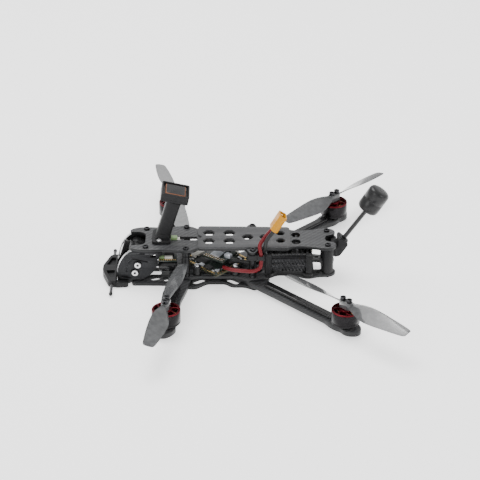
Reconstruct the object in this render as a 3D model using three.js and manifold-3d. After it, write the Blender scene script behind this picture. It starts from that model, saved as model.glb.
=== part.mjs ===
// Quadcopter drone: four-inch long-range airframe with a sandwiched carbon chassis,
// four outrunner motors, a tilting camera, a navigation mast and a rear antenna.
// Millimetres. +X is the nose, +Y the left side, +Z up. The origin is on the
// underside of the bottom plate, midway between the front and rear motors.
import * as THREE from 'three';
import { mergeVertices } from 'three/addons/utils/BufferGeometryUtils.js';
import Module from 'manifold-3d';

const wasm = await Module();
wasm.setup();

// ------------------------------------------------------------ driving dimensions
const MX = 56.6, MY = 72.8;            // motor centres, half length and half width
const Z_BP = [0, 2];                   // bottom plate
const Z_ARM = [2, 5.5];                // arms
const Z_MP = [5.5, 7.5];               // main plate
const Z_TP = [25.5, 27.5];             // top plate
const PAD_T = 1.2;                     // battery pad thickness
const BELL_R = 9.2, BELL_WALL = 1.1;   // motor bell
const BELL_Z = [7.6, 16.9];
const PROP_R = 50.8;                   // four-inch propeller
const PROP_Z = 20.7;
const ROW1 = [71.7, 12.3], ROW2 = [45.2, 14.7], ROW3 = [1.3, 16.5], ROW4 = [-48.1, 9.8];
const SIDE_Y = [10.5, 13.5];           // camera side plates, inner and outer face
const PIVOT = [77, 15.3];              // camera tilt axis, x and z
const CAM_TILT = 20;                   // camera tilt at rest, degrees
const CAM_HALF_W = 10.1;
const FC = [25.4, 0];                  // flight controller centre
const DEG = Math.PI / 180;

// ------------------------------------------------------------ helpers
const V2 = (p) => new THREE.Vector2(p[0], p[1]);
const sides = (n) => (n <= 8 ? n : n <= 12 ? 8 : n <= 16 ? 10 : n <= 20 ? 12 : 16);   // round pieces stay plain
function toSolid(g) {
  const k = g.clone();
  for (const a of Object.keys(k.attributes)) if (a !== 'position') k.deleteAttribute(a);
  const m = mergeVertices(k, 1e-4);
  return new wasm.Manifold(new wasm.Mesh({
    numProp: 3,
    vertProperties: new Float32Array(m.attributes.position.array),
    triVerts: new Uint32Array(m.index.array),
  }));
}
function toGeometry(man) {
  const me = man.getMesh();
  const g = new THREE.BufferGeometry();
  g.setAttribute('position', new THREE.BufferAttribute(new Float32Array(me.vertProperties), 3));
  g.setIndex(new THREE.BufferAttribute(new Uint32Array(me.triVerts), 1));
  g.computeVertexNormals();
  return g;
}
function join(...list) {
  let s = toSolid(list[0]);
  for (const g of list.slice(1)) s = s.add(toSolid(g));
  return toGeometry(s);
}
function cut(a, ...list) {
  let s = toSolid(a);
  for (const g of list) s = s.subtract(toSolid(g));
  return toGeometry(s);
}
function common(a, b) { return toGeometry(toSolid(a).intersect(toSolid(b))); }

function plainPrism(pts, z0, z1) {
  const g = new THREE.ExtrudeGeometry(new THREE.Shape(pts.map(V2)), { depth: z1 - z0, bevelEnabled: false, steps: 1 });
  g.translate(0, 0, z0);
  return g;
}
function prism(pts, z0, z1, holes = []) {
  const g = plainPrism(pts, z0, z1);
  return holes.length ? cut(g, ...holes.map((h) => plainPrism(h, z0 - 1, z1 + 1))) : g;
}
// points are (x, z), extruded from y0 to y1
function prismXZ(pts, y0, y1, holes = []) {
  const g = prism(pts, 0, y1 - y0, holes);
  g.rotateX(Math.PI / 2);
  g.translate(0, y1, 0);
  return g;
}
function cylZ(r, z0, z1, x = 0, y = 0, n = 16, r2 = r) {
  const g = new THREE.CylinderGeometry(r2, r, z1 - z0, sides(n));
  g.rotateX(Math.PI / 2);
  g.translate(x, y, (z0 + z1) / 2);
  return g;
}
function cylY(r, y0, y1, x, z, n = 16) {
  const g = new THREE.CylinderGeometry(r, r, y1 - y0, sides(n));
  g.translate(x, (y0 + y1) / 2, z);
  return g;
}
function cylX(r, x0, x1, y, z, n = 16) {
  const g = new THREE.CylinderGeometry(r, r, x1 - x0, sides(n));
  g.rotateZ(-Math.PI / 2);
  g.translate((x0 + x1) / 2, y, z);
  return g;
}
function box(x0, x1, y0, y1, z0, z1) {
  const g = new THREE.BoxGeometry(x1 - x0, y1 - y0, z1 - z0);
  g.translate((x0 + x1) / 2, (y0 + y1) / 2, (z0 + z1) / 2);
  return g;
}
function lathe(profile, n = 20) {      // profile is (radius, z) from axis to axis
  const g = new THREE.LatheGeometry(profile.map(V2), sides(n));
  g.rotateX(Math.PI / 2);
  return g;
}
function circle(x, y, r, n = 12) {
  n = sides(n);
  const a = [];
  for (let i = 0; i < n; i++) a.push([x + r * Math.cos(2 * Math.PI * i / n), y + r * Math.sin(2 * Math.PI * i / n)]);
  return a;
}
function stadium(x0, y0, x1, y1, r, n = 3) {
  n = Math.min(n, 3);
  const t = Math.atan2(y1 - y0, x1 - x0), a = [];
  for (let i = 0; i <= n; i++) { const q = t - Math.PI / 2 + Math.PI * i / n; a.push([x1 + r * Math.cos(q), y1 + r * Math.sin(q)]); }
  for (let i = 0; i <= n; i++) { const q = t + Math.PI / 2 + Math.PI * i / n; a.push([x0 + r * Math.cos(q), y0 + r * Math.sin(q)]); }
  return a;
}
function hexSlot(x0, x1, y0, y1, c = 0.42) {
  const ym = (y0 + y1) / 2, k = (y1 - y0) * c;
  return [[x0 + k * 0.15, y0 + k], [x0 + k, y0], [x1 - k, y0], [x1, ym - 0.4], [x1, ym + 0.4], [x1 - k, y1], [x0 + k, y1], [x0 + k * 0.15, y1 - k]];
}
// round the corners of a closed outline
function rounded(pts, r, seg = 1) {
  const out = [], n = pts.length;
  for (let i = 0; i < n; i++) {
    const A = pts[(i + n - 1) % n], P = pts[i], B = pts[(i + 1) % n];
    const rr = Array.isArray(r) ? r[i] : (P[2] ?? r);
    const la = Math.hypot(A[0] - P[0], A[1] - P[1]), lb = Math.hypot(B[0] - P[0], B[1] - P[1]);
    const d = Math.min(rr, la * 0.48, lb * 0.48);
    const turn = Math.abs(Math.atan2((P[0] - A[0]) * (B[1] - P[1]) - (P[1] - A[1]) * (B[0] - P[0]), (P[0] - A[0]) * (B[0] - P[0]) + (P[1] - A[1]) * (B[1] - P[1])));
    if (d < 0.3 || turn < 38 * DEG) { out.push([P[0], P[1]]); continue; }
    const a = [P[0] + (A[0] - P[0]) / la * d, P[1] + (A[1] - P[1]) / la * d];
    const b = [P[0] + (B[0] - P[0]) / lb * d, P[1] + (B[1] - P[1]) / lb * d];
    for (let k = 0; k <= seg; k++) {
      const t = k / seg, u = 1 - t;
      out.push([u * u * a[0] + 2 * u * t * P[0] + t * t * b[0], u * u * a[1] + 2 * u * t * P[1] + t * t * b[1]]);
    }
  }
  return out;
}
function capScrew(x, y, z, len, r = 1.9, h = 1.4) {     // button head above z, shank below
  return join(cylZ(r, z, z + h, x, y, 8, r * 0.82), cylZ(0.95, z - len, z + 0.01, x, y, 6));
}
// half outline with y >= 0 from rear to front, mirrored into a closed outline
function mirrored(half) {
  const far = half.filter((p) => Math.abs(p[1]) > 1e-6).map((p) => (p.length > 2 ? [p[0], -p[1], p[2]] : [p[0], -p[1]])).reverse();
  return [...half, ...far];
}
const flipY = (pts) => pts.map((p) => (p.length > 2 ? [p[0], -p[1], p[2]] : [p[0], -p[1]])).reverse();
function pipe(points, r, steps, n = 8) {
  const path = new THREE.CatmullRomCurve3(points.map((p) => new THREE.Vector3(...p)), false, 'centripetal');
  const s = new THREE.Shape(circle(0, 0, r, n).map(V2));
  return new THREE.ExtrudeGeometry(s, { steps, bevelEnabled: false, extrudePath: path });
}
function moved(g, m) { const k = g.clone(); k.applyMatrix4(m); return k; }
function mirrorGeometryY(g) {          // a true mirror with its faces turned back out
  const k = (g.index ? g.toNonIndexed() : g.clone());
  const p = k.attributes.position;
  for (let i = 0; i < p.count; i++) p.setY(i, -p.getY(i));
  for (let i = 0; i < p.count; i += 3) {
    const a = [p.getX(i), p.getY(i), p.getZ(i)], c = [p.getX(i + 2), p.getY(i + 2), p.getZ(i + 2)];
    p.setXYZ(i, ...c); p.setXYZ(i + 2, ...a);
  }
  for (const a of Object.keys(k.attributes)) if (a !== 'position') k.deleteAttribute(a);
  const m = mergeVertices(k, 1e-4);
  m.computeVertexNormals();
  return m;
}
// local frame: Z along a leaning direction in the XZ plane, Y kept
function leanFrame(x, z, dx, dz, y = 0) {
  const l = Math.hypot(dx, dz), ux = dx / l, uz = dz / l;
  const m = new THREE.Matrix4();
  m.makeBasis(new THREE.Vector3(uz, 0, -ux), new THREE.Vector3(0, 1, 0), new THREE.Vector3(ux, 0, uz));
  m.setPosition(x, y, z);
  return m;
}

// ------------------------------------------------------------ materials
const M = (color, roughness, metalness, extra = {}) => new THREE.MeshStandardMaterial({ color, roughness, metalness, ...extra });
const CARBON = M(0x3a3b3d, 0.45, 0.1), TPU = M(0x141415, 0.6, 0), PADM = M(0x5f5f61, 0.85, 0);
const STEEL_B = M(0x202022, 0.35, 0.9), STEEL = M(0xc8c8cc, 0.25, 1), ALU_B = M(0x3c3c3f, 0.4, 0.6), RED = M(0x4a0510, 0.35, 0.8);
const PCB = M(0x10140f, 0.5, 0.1), COPPER = M(0x8a4a26, 0.4, 0.9), AMBER = M(0xe0a93a, 0.4, 0), GOLD = M(0xd9b24a, 0.3, 1);
const PLASTIC = M(0x1b1b1d, 0.45, 0), GLASS = M(0x0b1018, 0.08, 0), PROP = M(0x7d7f83, 0.25, 0, { transparent: true, opacity: 0.6 });
const CERAMIC = M(0x8a6a45, 0.6, 0), WIRE_R = M(0xa03040, 0.5, 0), WIRE_B = M(0x151a17, 0.5, 0), TUBE = M(0x8d8f92, 0.45, 0);

const drone = new THREE.Group();
function add(name, geometry, material) {
  const mesh = new THREE.Mesh(geometry, material);
  mesh.name = name;
  drone.add(mesh);
  return mesh;
}

// ------------------------------------------------------------ bottom plate
const ARM_STUDS = [[47.5, 6], [12.5, 4.5]];       // studs pressed into the bottom plate, one for each arm root
const SIDES = [1, -1];
{
  const outline = rounded(mirrored([[-10, 0], [-10, 9, 2], [-6.5, 15.4, 1], [-0.1, 21.8, 0.8], [6.5, 17.7, 2], [15.3, 17.7, 2], [19.1, 13.5, 2],
    [31.3, 13.5, 2], [38.7, 20.1, 2.5], [43, 20.1, 2], [48, 19, 2], [57, 15.3, 3], [80.4, 15.0, 0.8], [81.6, 10.0, 0.2], [90.8, 10.0, 1.2], [90.8, 0]]), 0);
  const holes = [];
  for (const s of SIDES) {
    holes.push(stadium(34.9, s * 10.7, 38.6, s * 13.4, 2.5), stadium(16.2, s * 10.7, 12.4, s * 13.8, 2.5));
    holes.push(stadium(64.4, s * 8.0, 67.0, s * 8.9, 2.2, 3), stadium(56.2, s * 9.3, 58.6, s * 10.1, 2.2, 3));
    holes.push(stadium(74, s * 6.6, 77, s * 6.6, 1.5, 3));
    for (const p of [ROW2, ROW3]) holes.push(circle(p[0], s * p[1], 1.2, 6));
  }
  holes.push(stadium(83, 0, 87, 0, 2.0, 3));
  holes.push(rounded([[62, -3.6], [79, -3.6], [79, 3.6], [62, 3.6]], 1.5));
  let g = prism(outline, ...Z_BP, holes);
  for (const s of SIDES) {
    for (const p of [ROW2, ROW3]) g = cut(g, cylZ(2.15, -1, 1.1, p[0], s * p[1], 12));
    for (const p of ARM_STUDS) g = join(g, cylZ(0.95, 1.0, Z_MP[1] - 0.1, p[0], s * p[1], 6));
  }
  add('bottom_plate', g, CARBON);
}

// ------------------------------------------------------------ arms
const PAD_HOLES = 4.5;                            // motor screw circle radius
function frontArm() {
  // left front arm: straight, broad at its root, with a lobed motor pad
  const L = [[56.6, 0.5], [57.0, 20], [57.8, 27], [60.1, 31.5], [60.5, 38], [61.2, 47], [62.2, 57], [63.6, 63.5], [63.2, 72.5], [64.2, 79], [61.5, 84.4], [57.4, 85.1],
    [53.2, 82], [50.3, 77], [50.9, 72.0], [49.2, 67], [48.8, 60], [48.9, 50], [47.8, 41], [45.2, 31], [43.2, 21.8], [42.0, 12], [42.0, 0.5]];
  return rounded(L, 1.6);
}
function rearArm() {
  const ax = [-Math.SQRT1_2, Math.SQRT1_2], px = [Math.SQRT1_2, Math.SQRT1_2];
  const at = (a, p) => [-MX + ax[0] * a + px[0] * p, MY + ax[1] * a + px[1] * p];
  const s = [[11.9, 1.8], [8.6, 5.3], [4.9, 6.6], [0.4, 5.6], [-4.6, 6.7], [-9.4, 6.0], [-13.5, 4.9]];
  const near = s.map(([a, p]) => at(a, p)), far = s.map(([a, p]) => at(a, -p)).reverse();
  // the root runs in under the main plate and stops short of the centre plane
  return rounded([...near, [22.8, 0.5, 0], [8.8, 0.5, 0], ...far], 1.6);
}
function armHoles(pts) {
  const [cx, cy, rot] = pts;
  const h = [circle(cx, cy, 1.9, 10)];
  for (let i = 0; i < 4; i++) { const q = rot + i * Math.PI / 2; h.push(circle(cx + PAD_HOLES * Math.cos(q), cy + PAD_HOLES * Math.sin(q), 1.15, 6)); }
  return h;
}
const FRONT_ROT = 84.5 * DEG + Math.PI / 4, REAR_ROT = 135 * DEG + Math.PI / 4;
// name, x, y, turning direction, blade angle and screw angle of each motor
const MOTORS = [['front_left', MX, MY, -1, 78.7, FRONT_ROT], ['front_right', MX, -MY, 1, 101.9, -FRONT_ROT],
  ['rear_left', -MX, MY, 1, 135.3, REAR_ROT], ['rear_right', -MX, -MY, -1, 45.5, -REAR_ROT]];
const frontHoles = [...armHoles([MX, MY, FRONT_ROT]), circle(...ROW2, 1.2, 6), circle(...ARM_STUDS[0], 1.2, 6)];
const rearHoles = [...armHoles([-MX, MY, REAR_ROT]), circle(...ROW3, 1.2, 6), circle(...ARM_STUDS[1], 1.2, 6)];
const fa = prism(frontArm(), ...Z_ARM, frontHoles), ra = prism(rearArm(), ...Z_ARM, rearHoles);
add('arm_front_left', join(fa), CARBON);
add('arm_front_right', mirrorGeometryY(fa), CARBON);
add('arm_rear_left', join(ra), CARBON);
add('arm_rear_right', mirrorGeometryY(ra), CARBON);

// ------------------------------------------------------------ main plate
{
  const outline = rounded(mirrored([[-46.2, 0], [-47, 3.6, 1.5], [-52.4, 5.2, 1], [-53.8, 8, 2], [-52.6, 11.4, 2], [-49.4, 13.4, 2], [-42, 14, 2], [-36.5, 16.0, 1.5],
    [-33, 15.8, 1.5], [-26.8, 12.4, 3], [-15.2, 11.5, 3], [-8.1, 16.6, 2], [-4, 19.3, 2], [5, 19.3, 2], [9.5, 16.6, 2], [14, 15.6, 2], [37, 15.6, 2], [41, 17.6, 2],
    [48, 17.6, 2], [50.5, 15, 1.5], [50.5, 0]]), 0);
  const holes = [];
  for (const s of SIDES) {
    for (const p of [ROW2, ROW3, ROW4]) holes.push(circle(p[0], s * p[1], 1.2, 6));
    for (const p of ARM_STUDS) holes.push(circle(p[0], s * p[1], 1.2, 6));
    for (const x of [12.65, 38.15]) holes.push(circle(x, s * 12.75, 1.2, 6));
    holes.push(stadium(-38.6, s * 10.4, -37.4, s * 10.4, 0.9, 2), stadium(-42.4, s * 10.4, -41.2, s * 10.4, 0.9, 2));
    holes.push(hexSlot(-5.5, 6, s > 0 ? 5 : -11, s > 0 ? 11 : -5));
  }
  holes.push(rounded([[-44.2, -6.2], [-30, -6.2], [-30, 6.2], [-44.2, 6.2]], 2));
  holes.push(rounded([[-27, -5.6], [-13, -5.6], [-13, 5.6], [-27, 5.6]], 2));
  add('main_plate', prism(outline, ...Z_MP, holes), CARBON);
}

// ------------------------------------------------------------ top plate and battery pad
const PAD_SLOTS = [];
for (const s of SIDES) {
  const y = s > 0 ? [2.1, 9.0] : [-9.0, -2.1];
  PAD_SLOTS.push([26, 34.2, ...y], [12.4, 20.7, ...y], [-20.4, -13.9, s > 0 ? 2.1 : -8, s > 0 ? 8 : -2.1]);
}
PAD_SLOTS.push([0.4, 8.3, -3.3, 3.3], [-11, -3.1, -3.3, 3.3]);
{
  const outline = rounded(mirrored([[-46.5, 0], [-47.3, 3.4, 1.5], [-52.4, 5.4, 1], [-53.8, 8, 2], [-53, 11.6, 2], [-50, 13.7, 2], [-45, 13.6, 3], [-38, 11.6, 4], [-30, 10.7, 3],
    [-25, 11.2, 1.5], [-21.5, 13.8, 1.5], [-2.6, 13.8, 0.4], [-1.1, 18.2, 1], [0.2, 19.4, 1], [2.6, 19.4, 1], [4.4, 18.2, 1], [6, 13.8, 1], [34, 13.8, 1], [37.7, 13.4, 1],
    [42, 16.4, 2], [46.8, 17.5, 2], [52, 16.3, 2], [60, 15.1, 2], [68, 15.6, 2], [76, 15.4, 2], [80.9, 13.6, 2], [82.7, 11.3, 1], [82.2, 9.2, 0.8], [76, 8.9, 1.5],
    [73.4, 7.9, 1.5], [72.1, 5.6, 1.5], [72.1, 0]]), 0);
  const holes = [];
  for (const s of SIDES) {
    for (const p of [ROW1, ROW2, ROW3, ROW4]) holes.push(circle(p[0], s * p[1], 1.2, 6));
    holes.push(hexSlot(-30.4, -24.3, s > 0 ? 1.65 : -7.75, s > 0 ? 7.75 : -1.65, 0.3));
  }
  for (const q of PAD_SLOTS) holes.push(hexSlot(q[0] + 0.7, q[1] - 0.7, q[2] + 0.7, q[3] - 0.7));
  holes.push(rounded(mirrored([[37.8, 0], [38.2, 2.3, 0.5], [54, 2.3, 1], [57.5, 4.2, 1], [65, 4.2, 1], [68.2, 0]]), 0));
  // the two mast screws stay in the top plate
  add('top_plate', join(prism(outline, ...Z_TP, holes), ...SIDES.map((s) => capScrew(62.8, s * 6.6, Z_TP[1] + 1.35, 1.6, 1.75, 1.3))), CARBON);

  const pad = rounded([[-23.4, 0], [-23.4, 13.5, 2.5], [1, 14.2, 0], [35.8, 14.9, 0.6], [37.4, 13.6, 0.6], [37.4, 3.0, 0.2], [34.6, 0, 0.3], [37.4, -3.0, 0.2], [37.4, -13.6, 0.6],
    [35.8, -14.9, 0.6], [1, -14.2, 0], [-23.4, -13.5, 2.5]].slice(1), 0);
  add('battery_pad', prism(pad, Z_TP[1], Z_TP[1] + PAD_T, PAD_SLOTS.map((q) => hexSlot(...q))), PADM);
}

// ------------------------------------------------------------ standoffs, each with its two screws
for (const [row, p] of [['front', ROW2], ['middle', ROW3], ['rear', ROW4]]) for (const s of SIDES) {
  const x = p[0], y = s * p[1], rear = row === 'rear';
  const low = rear ? [cylZ(1.9, 4.1, 5.4, x, y, 12), cylZ(0.95, 5.3, Z_MP[1] + 0.1, x, y, 6)] : [cylZ(1.9, 0.1, 1.0, x, y, 12), cylZ(0.95, 0.9, Z_MP[1] + 0.1, x, y, 6)];
  add(`standoff_${row}_${s > 0 ? 'left' : 'right'}`, join(cylZ(2.5, Z_MP[1], Z_TP[0], x, y, 12), capScrew(x, y, Z_TP[1], 2.1), ...low), ALU_B);
}

// ------------------------------------------------------------ camera side plates
function arcPts(cx, cz, r, a0, a1, n) {
  const o = [];
  for (let i = 0; i <= n; i++) { const q = (a0 + (a1 - a0) * i / n) * DEG; o.push([cx + r * Math.cos(q), cz + r * Math.sin(q)]); }
  return o;
}
{
  const outline = rounded([[82.0, 25.2, 1.2], [64.5, 25.2, 0.6], [60.1, 23.7, 0.8], [64.0, 19.0, 1.5], [63.7, 15.2, 2], [66.9, 8.8, 2], [74.4, 3.4, 2], [80.7, 3.2, 0.8], [82.1, 0.9, 0.4],
    [89.4, 0.15, 0.5], [90.5, 4.4, 3], [90.9, 9.0, 3], [90.2, 13.2, 3], [88.7, 17.0, 3], [86.2, 21.4, 3]], 0);
  const slot = [...arcPts(...PIVOT, 4.85, -98, -46, 4), ...arcPts(...PIVOT, 7.35, -98, -46, 4).reverse()];
  const holes = [circle(...PIVOT, 1.35, 10), slot,
    [[64.6, 20.6], [66.2, 20.2], [68.9, 20.4], [69.4, 21.6], [68.4, 22.7], [66.8, 22.0], [65.2, 22.6]]];
  const p = prismXZ(outline, SIDE_Y[0], SIDE_Y[1], holes);
  const left = join(p, capScrew(ROW1[0], ROW1[1], Z_TP[1], 3.6));      // with its top plate screw
  add('camera_side_plate_left', left, ALU_B);
  add('camera_side_plate_right', mirrorGeometryY(left), ALU_B);
}

// ------------------------------------------------------------ camera, tilts about PIVOT
{
  const m = new THREE.Matrix4().makeRotationY(-CAM_TILT * DEG);
  m.setPosition(PIVOT[0], 0, PIVOT[1]);
  const up = CAM_HALF_W;
  const lower = [(78.9 - PIVOT[0]), (9.5 - PIVOT[1])];
  const c = Math.cos(CAM_TILT * DEG), s = Math.sin(CAM_TILT * DEG);
  const lowLocal = [lower[0] * c + lower[1] * s, -lower[0] * s + lower[1] * c];     // the lower screw in camera axes
  const shell = rounded([[-8.5, -9.3, 2.2], [6.0, -9.3, 2.2], [6.2, 5.8, 1.8], [4.4, 7.6, 1.8], [-6.5, 7.6, 2], [-8.5, 5.6, 2]], 0);
  let body = prismXZ(shell, -up, up);
  body = cut(join(body, cylX(7.6, 6.1, 8.4, 0, 0, 20)), cylX(6.35, 4.2, 9, 0, 0, 20));
  const barrel = lathe([[0, 4.5], [6.1, 4.5], [6.1, 8.6], [6.9, 8.8], [6.9, 12.0], [6.2, 12.3], [5.3, 12.3], [5.0, 11.2], [0, 11.2]], 20);
  barrel.rotateY(Math.PI / 2);
  add('camera_lens_barrel', moved(barrel, m), PLASTIC);
  const glass = lathe([[0, 11.4], [4.7, 11.4], [3.6, 11.95], [2, 12.25], [0, 12.35]], 16);
  glass.rotateY(Math.PI / 2);
  add('camera_lens_glass', moved(glass, m), GLASS);
  const list = [];
  for (const k of SIDES) for (const q of [[0, 0], lowLocal]) {
    const y0 = k > 0 ? SIDE_Y[1] + 0.25 : -SIDE_Y[1] - 1.75;
    const head = cylY(2.15, y0, y0 + 1.5, q[0], q[1], 12);
    list.push(join(head, cylY(0.9, k > 0 ? 8.2 : -SIDE_Y[1] - 0.3, k > 0 ? SIDE_Y[1] + 0.3 : -8.2, q[0], q[1], 8)));
  }
  add('camera_body', moved(join(body, ...list), m), PLASTIC);        // with its pivot and locking screws
}

// ------------------------------------------------------------ front bumper and receiver antenna
{
  const zb = [0.15, 5.4];
  const nose = rounded([[91.3, 18.0, 0.8], [96.4, 17.2, 1.5], [101, 3.4, 1.5], [101, -3.4, 1.5], [96.4, -17.2, 1.5], [91.3, -18.0, 0.8]], 0);
  let g = join(prism(nose, ...zb), prism(rounded([[83.4, 14.0], [83.4, 17.6, 1.5], [91.5, 18.4, 1], [91.5, 14.0]], 0.3), zb[0], 3.9),
    prism(rounded([[83.4, -17.6, 1.5], [83.4, -14.0], [91.5, -14.0], [91.5, -18.4, 1]], 0.3), zb[0], 3.9));
  // lightening pockets and the cross bore of the antenna tube
  const pocket = (s) => prism(rounded([[92.8, s * 3.2], [92.8, s * 13.6], [95.6, s * 13.4], [98.7, s * 3.6]], 1), 3.4, 6);
  g = cut(g, pocket(1), pocket(-1), cylY(1.3, -20, 20, 94.4, 1.75, 12));
  add('front_bumper', g, TPU);
  const tube = join(cylY(1.0, -27.6, 27.6, 94.4, 1.75, 10), cylY(1.25, 27.6, 30.1, 94.4, 1.75, 10), cylY(1.25, -30.1, -27.6, 94.4, 1.75, 10));
  add('receiver_antenna', tube, TUBE);
}

// ------------------------------------------------------------ navigation mast
{
  const base = [61.4, Z_TP[1]], dir = [-8.9, 29.5];
  const f = leanFrame(base[0], base[1], ...dir);
  const oval = rounded([[-5.0, -4.6], [5.0, -4.6], [5.0, 4.6], [-5.0, 4.6]], 2.4);
  let mast = moved(prism(oval, -4, 29.6), f);
  mast = common(mast, box(30, 90, -20, 20, Z_TP[1], 70));
  const foot = prism(rounded([[55.6, -8.8], [67.6, -8.8], [67.6, 8.8], [55.6, 8.8]], 2.2), Z_TP[1], Z_TP[1] + 2.2);
  let g = join(foot, mast);
  for (const s of SIDES) g = cut(g, cylZ(1.1, 26, 31, 62.8, s * 6.6, 8), cylZ(2.1, Z_TP[1] + 1.3, 34, 62.8, s * 6.6, 12));
  // cable way down the mast
  g = cut(g, moved(cylZ(1.6, 6, 32, -2.2, 0, 8), f), cylX(1.5, 52, 58.5, 0, 34, 8));
  add('gps_mast', g, TPU);

  const TILT = 12.2;
  const h = new THREE.Matrix4().makeRotationY(-TILT * DEG);
  h.setPosition(52.1, 0, 61.25);
  // tray with a rim round the receiver
  let tray = prism(rounded([[-9.2, -9.2], [9.2, -9.2], [9.2, 9.2], [-9.2, 9.2]], 1.4), -2.9, 2.7);
  tray = cut(tray, box(-8.0, 8.0, -8.0, 8.0, -1.5, 4), box(-6, 6, 8.9, 10, -1.2, 1.4), box(-6, 6, -10, -8.9, -1.2, 1.4), box(8.9, 10, -5.5, 5.5, -1.2, 1.4));
  add('gps_tray', moved(tray, h), TPU);
  add('gps_receiver', moved(join(box(-7.7, 7.7, -7.7, 7.7, -1.2, 0.4), prism(rounded([[-7.0, -7.0], [7.0, -7.0], [7.0, 7.0], [-7.0, 7.0]], 0.8), 0.3, 2.6), cylZ(1.3, 2.5, 2.9, 0.8, 0.5, 10)), h), CERAMIC);
}

// ------------------------------------------------------------ rear antenna and its mount
{
  const parts = [];
  for (const s of SIDES) parts.push(prism(rounded([[-52, s * 5.9], [-44.4, s * 5.9], [-44.4, s * 13.6], [-52, s * 13.6]], 1.6), 8.0, 25.2));
  parts.push(box(-54.4, -50.6, -8, 8, 18.0, 25.2));
  // leaning block behind the top plate that grips the antenna
  parts.push(prismXZ(rounded([[-52.9, 15.8], [-56.6, 16.8], [-61.7, 24.7], [-61.1, 26.1], [-55.6, 29.9], [-54.6, 28.9], [-54.6, 24.6], [-52.9, 24.6]], 0.7), -5.4, 5.4));
  let g = join(...parts);
  const f = leanFrame(-59.0, 27.7, -13.1, 19.3);
  g = join(g, moved(cylZ(3.8, -8.0, 0.3, 0, 0, 16), f));
  for (const s of SIDES) g = cut(g, cylZ(2.75, 7, 27, ROW4[0], s * ROW4[1], 12));
  g = cut(g, moved(cylZ(1.85, -6.3, 9, 0, 0, 12), f));
  add('rear_antenna_mount', g, TPU);
  add('rear_antenna_stalk', moved(join(cylZ(1.5, -6.0, 24.2, 0, 0, 12)), f), PLASTIC);
  const hd = leanFrame(-72.1, 47.0, -9.2, 14.6);
  add('rear_antenna_head', moved(lathe([[0, 1.2], [2.2, 1.2], [2.3, 2.0], [5.8, 2.3], [6.9, 3.2], [7.3, 4.6], [7.3, 16.4], [6.9, 17.9], [5.8, 18.8], [0, 19.2]], 20), hd), PLASTIC);
}

// ------------------------------------------------------------ video transmitter unit in its cradle
{
  const unit = rounded([[-37.7, -15.0], [-8.0, -15.0], [-8.0, 15.0], [-37.7, 15.0]], 1.6);
  add('video_unit_body', prism(unit, 10.4, 20.2), ALU_B);
  add('video_unit_lid', cut(prism(unit, 20.4, 23.8), cylX(1.75, -40, -36.4, 6.5, 22.1, 10)), ALU_B);
  add('video_link_button', join(cylX(1.35, -38.2, -36.9, 6.5, 22.1, 10)), PLASTIC);
  // cradle: floor rails, corner pillars
  const c = [prism(rounded(mirrored([[-38.6, 0], [-38.6, 17.2, 1.5], [-33.4, 17.6, 1.5], [-31, 13.8, 1], [-13.4, 13.8, 1], [-11, 17.6, 1.5], [-7.0, 17.2, 1.5], [-7.0, 0]]), 0), 7.5, 10.2)];
  for (const s of SIDES) for (const x of [[-37.9, -33.6], [-11.0, -7.2]])
    c.push(prism([[x[0], s * 15.3], [x[1], s * 15.3], [x[1], s * 17.2], [x[0], s * 17.2]], 9.9, 24.0));
  const g = cut(join(...c), box(-34, -11, -11, 11, 7, 11), box(-42, -33, -6, 6, 7, 11));
  add('video_unit_cradle', g, TPU);
}

// ------------------------------------------------------------ flight controller stack
const FC_Z = [10.4, 12.0];
const STACK = [[12.65, 12.75], [38.15, 12.75], [12.65, -12.75], [38.15, -12.75]];
{
  const d = 22.6;
  const diamond = rounded([[FC[0] + d, 0, 1.2], [FC[0], d, 1.2], [FC[0] - d, 0, 1.2], [FC[0], -d, 1.2]], 0);
  const rot = (geo, a, x, y) => { const k = geo.clone(); k.rotateZ(a); k.translate(x, y, 0); return k; };
  const zt = FC_Z[1], zc = zt - 0.1;
  const g = [prism(diamond, ...FC_Z)];
  // four rubber mounts with their screws
  for (const p of STACK) g.push(cylZ(2.6, Z_MP[1], 13.5, ...p, 8), cylZ(0.95, Z_MP[0] + 0.3, 8, ...p, 6), cylZ(1.9, 13.4, 14.9, ...p, 6, 1.6));
  // components on the upper side, square to the board edges
  g.push(rot(box(-3.5, 3.5, -3.5, 3.5, zc, zt + 1.0), Math.PI / 4, 34.6, 3.6), rot(box(-2.4, 2.4, -1.6, 1.6, zc, zt + 1.3), Math.PI / 4, 26.6, 17.0),
    rot(box(-4.4, 4.4, -1.9, 1.9, zc, zt + 1.7), Math.PI / 4, 37.6, -5.6), rot(box(-4.4, 4.4, -1.7, 1.7, zc, zt + 1.7), -Math.PI / 4, 14.0, -8.0),
    rot(box(-1.6, 1.6, -0.9, 0.9, zc, zt + 0.9), Math.PI / 4, 21.6, 17.3));
  add('flight_controller', join(...g), PCB);
  add('boot_button', cylZ(0.75, zt + 0.35, zt + 1.35, 43.6, 1.4, 10), PLASTIC);

  // upper board with its foam block underneath, turned a little from the lower one
  const A = [34.9, 4.4], B = [20.9, 14.3], C = [11.0, 0.3], D = [25.0, -9.6];
  const th = Math.atan2(B[1] - A[1], B[0] - A[0]);
  add('speed_controller', join(prism(rounded([A, B, C, D], 0.8), 16.2, 17.4), box(18.5, 27.5, -3.5, 7.5, 14.0, 16.3),
    rot(box(-3.4, 3.4, -3.4, 3.4, 17.3, 18.3), th, 24.6, 3.4), rot(box(-2.3, 2.3, -1.8, 1.8, 17.3, 20.2), th, 16.6, 6.6),
    rot(box(-5.2, 5.2, -1.0, 1.0, 17.3, 18.0), th, 28.2, 7.6), rot(box(-3.6, 3.6, -1.7, 1.7, 17.3, 20.0), th, 20.5, -4.6)), PCB);
}

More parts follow.
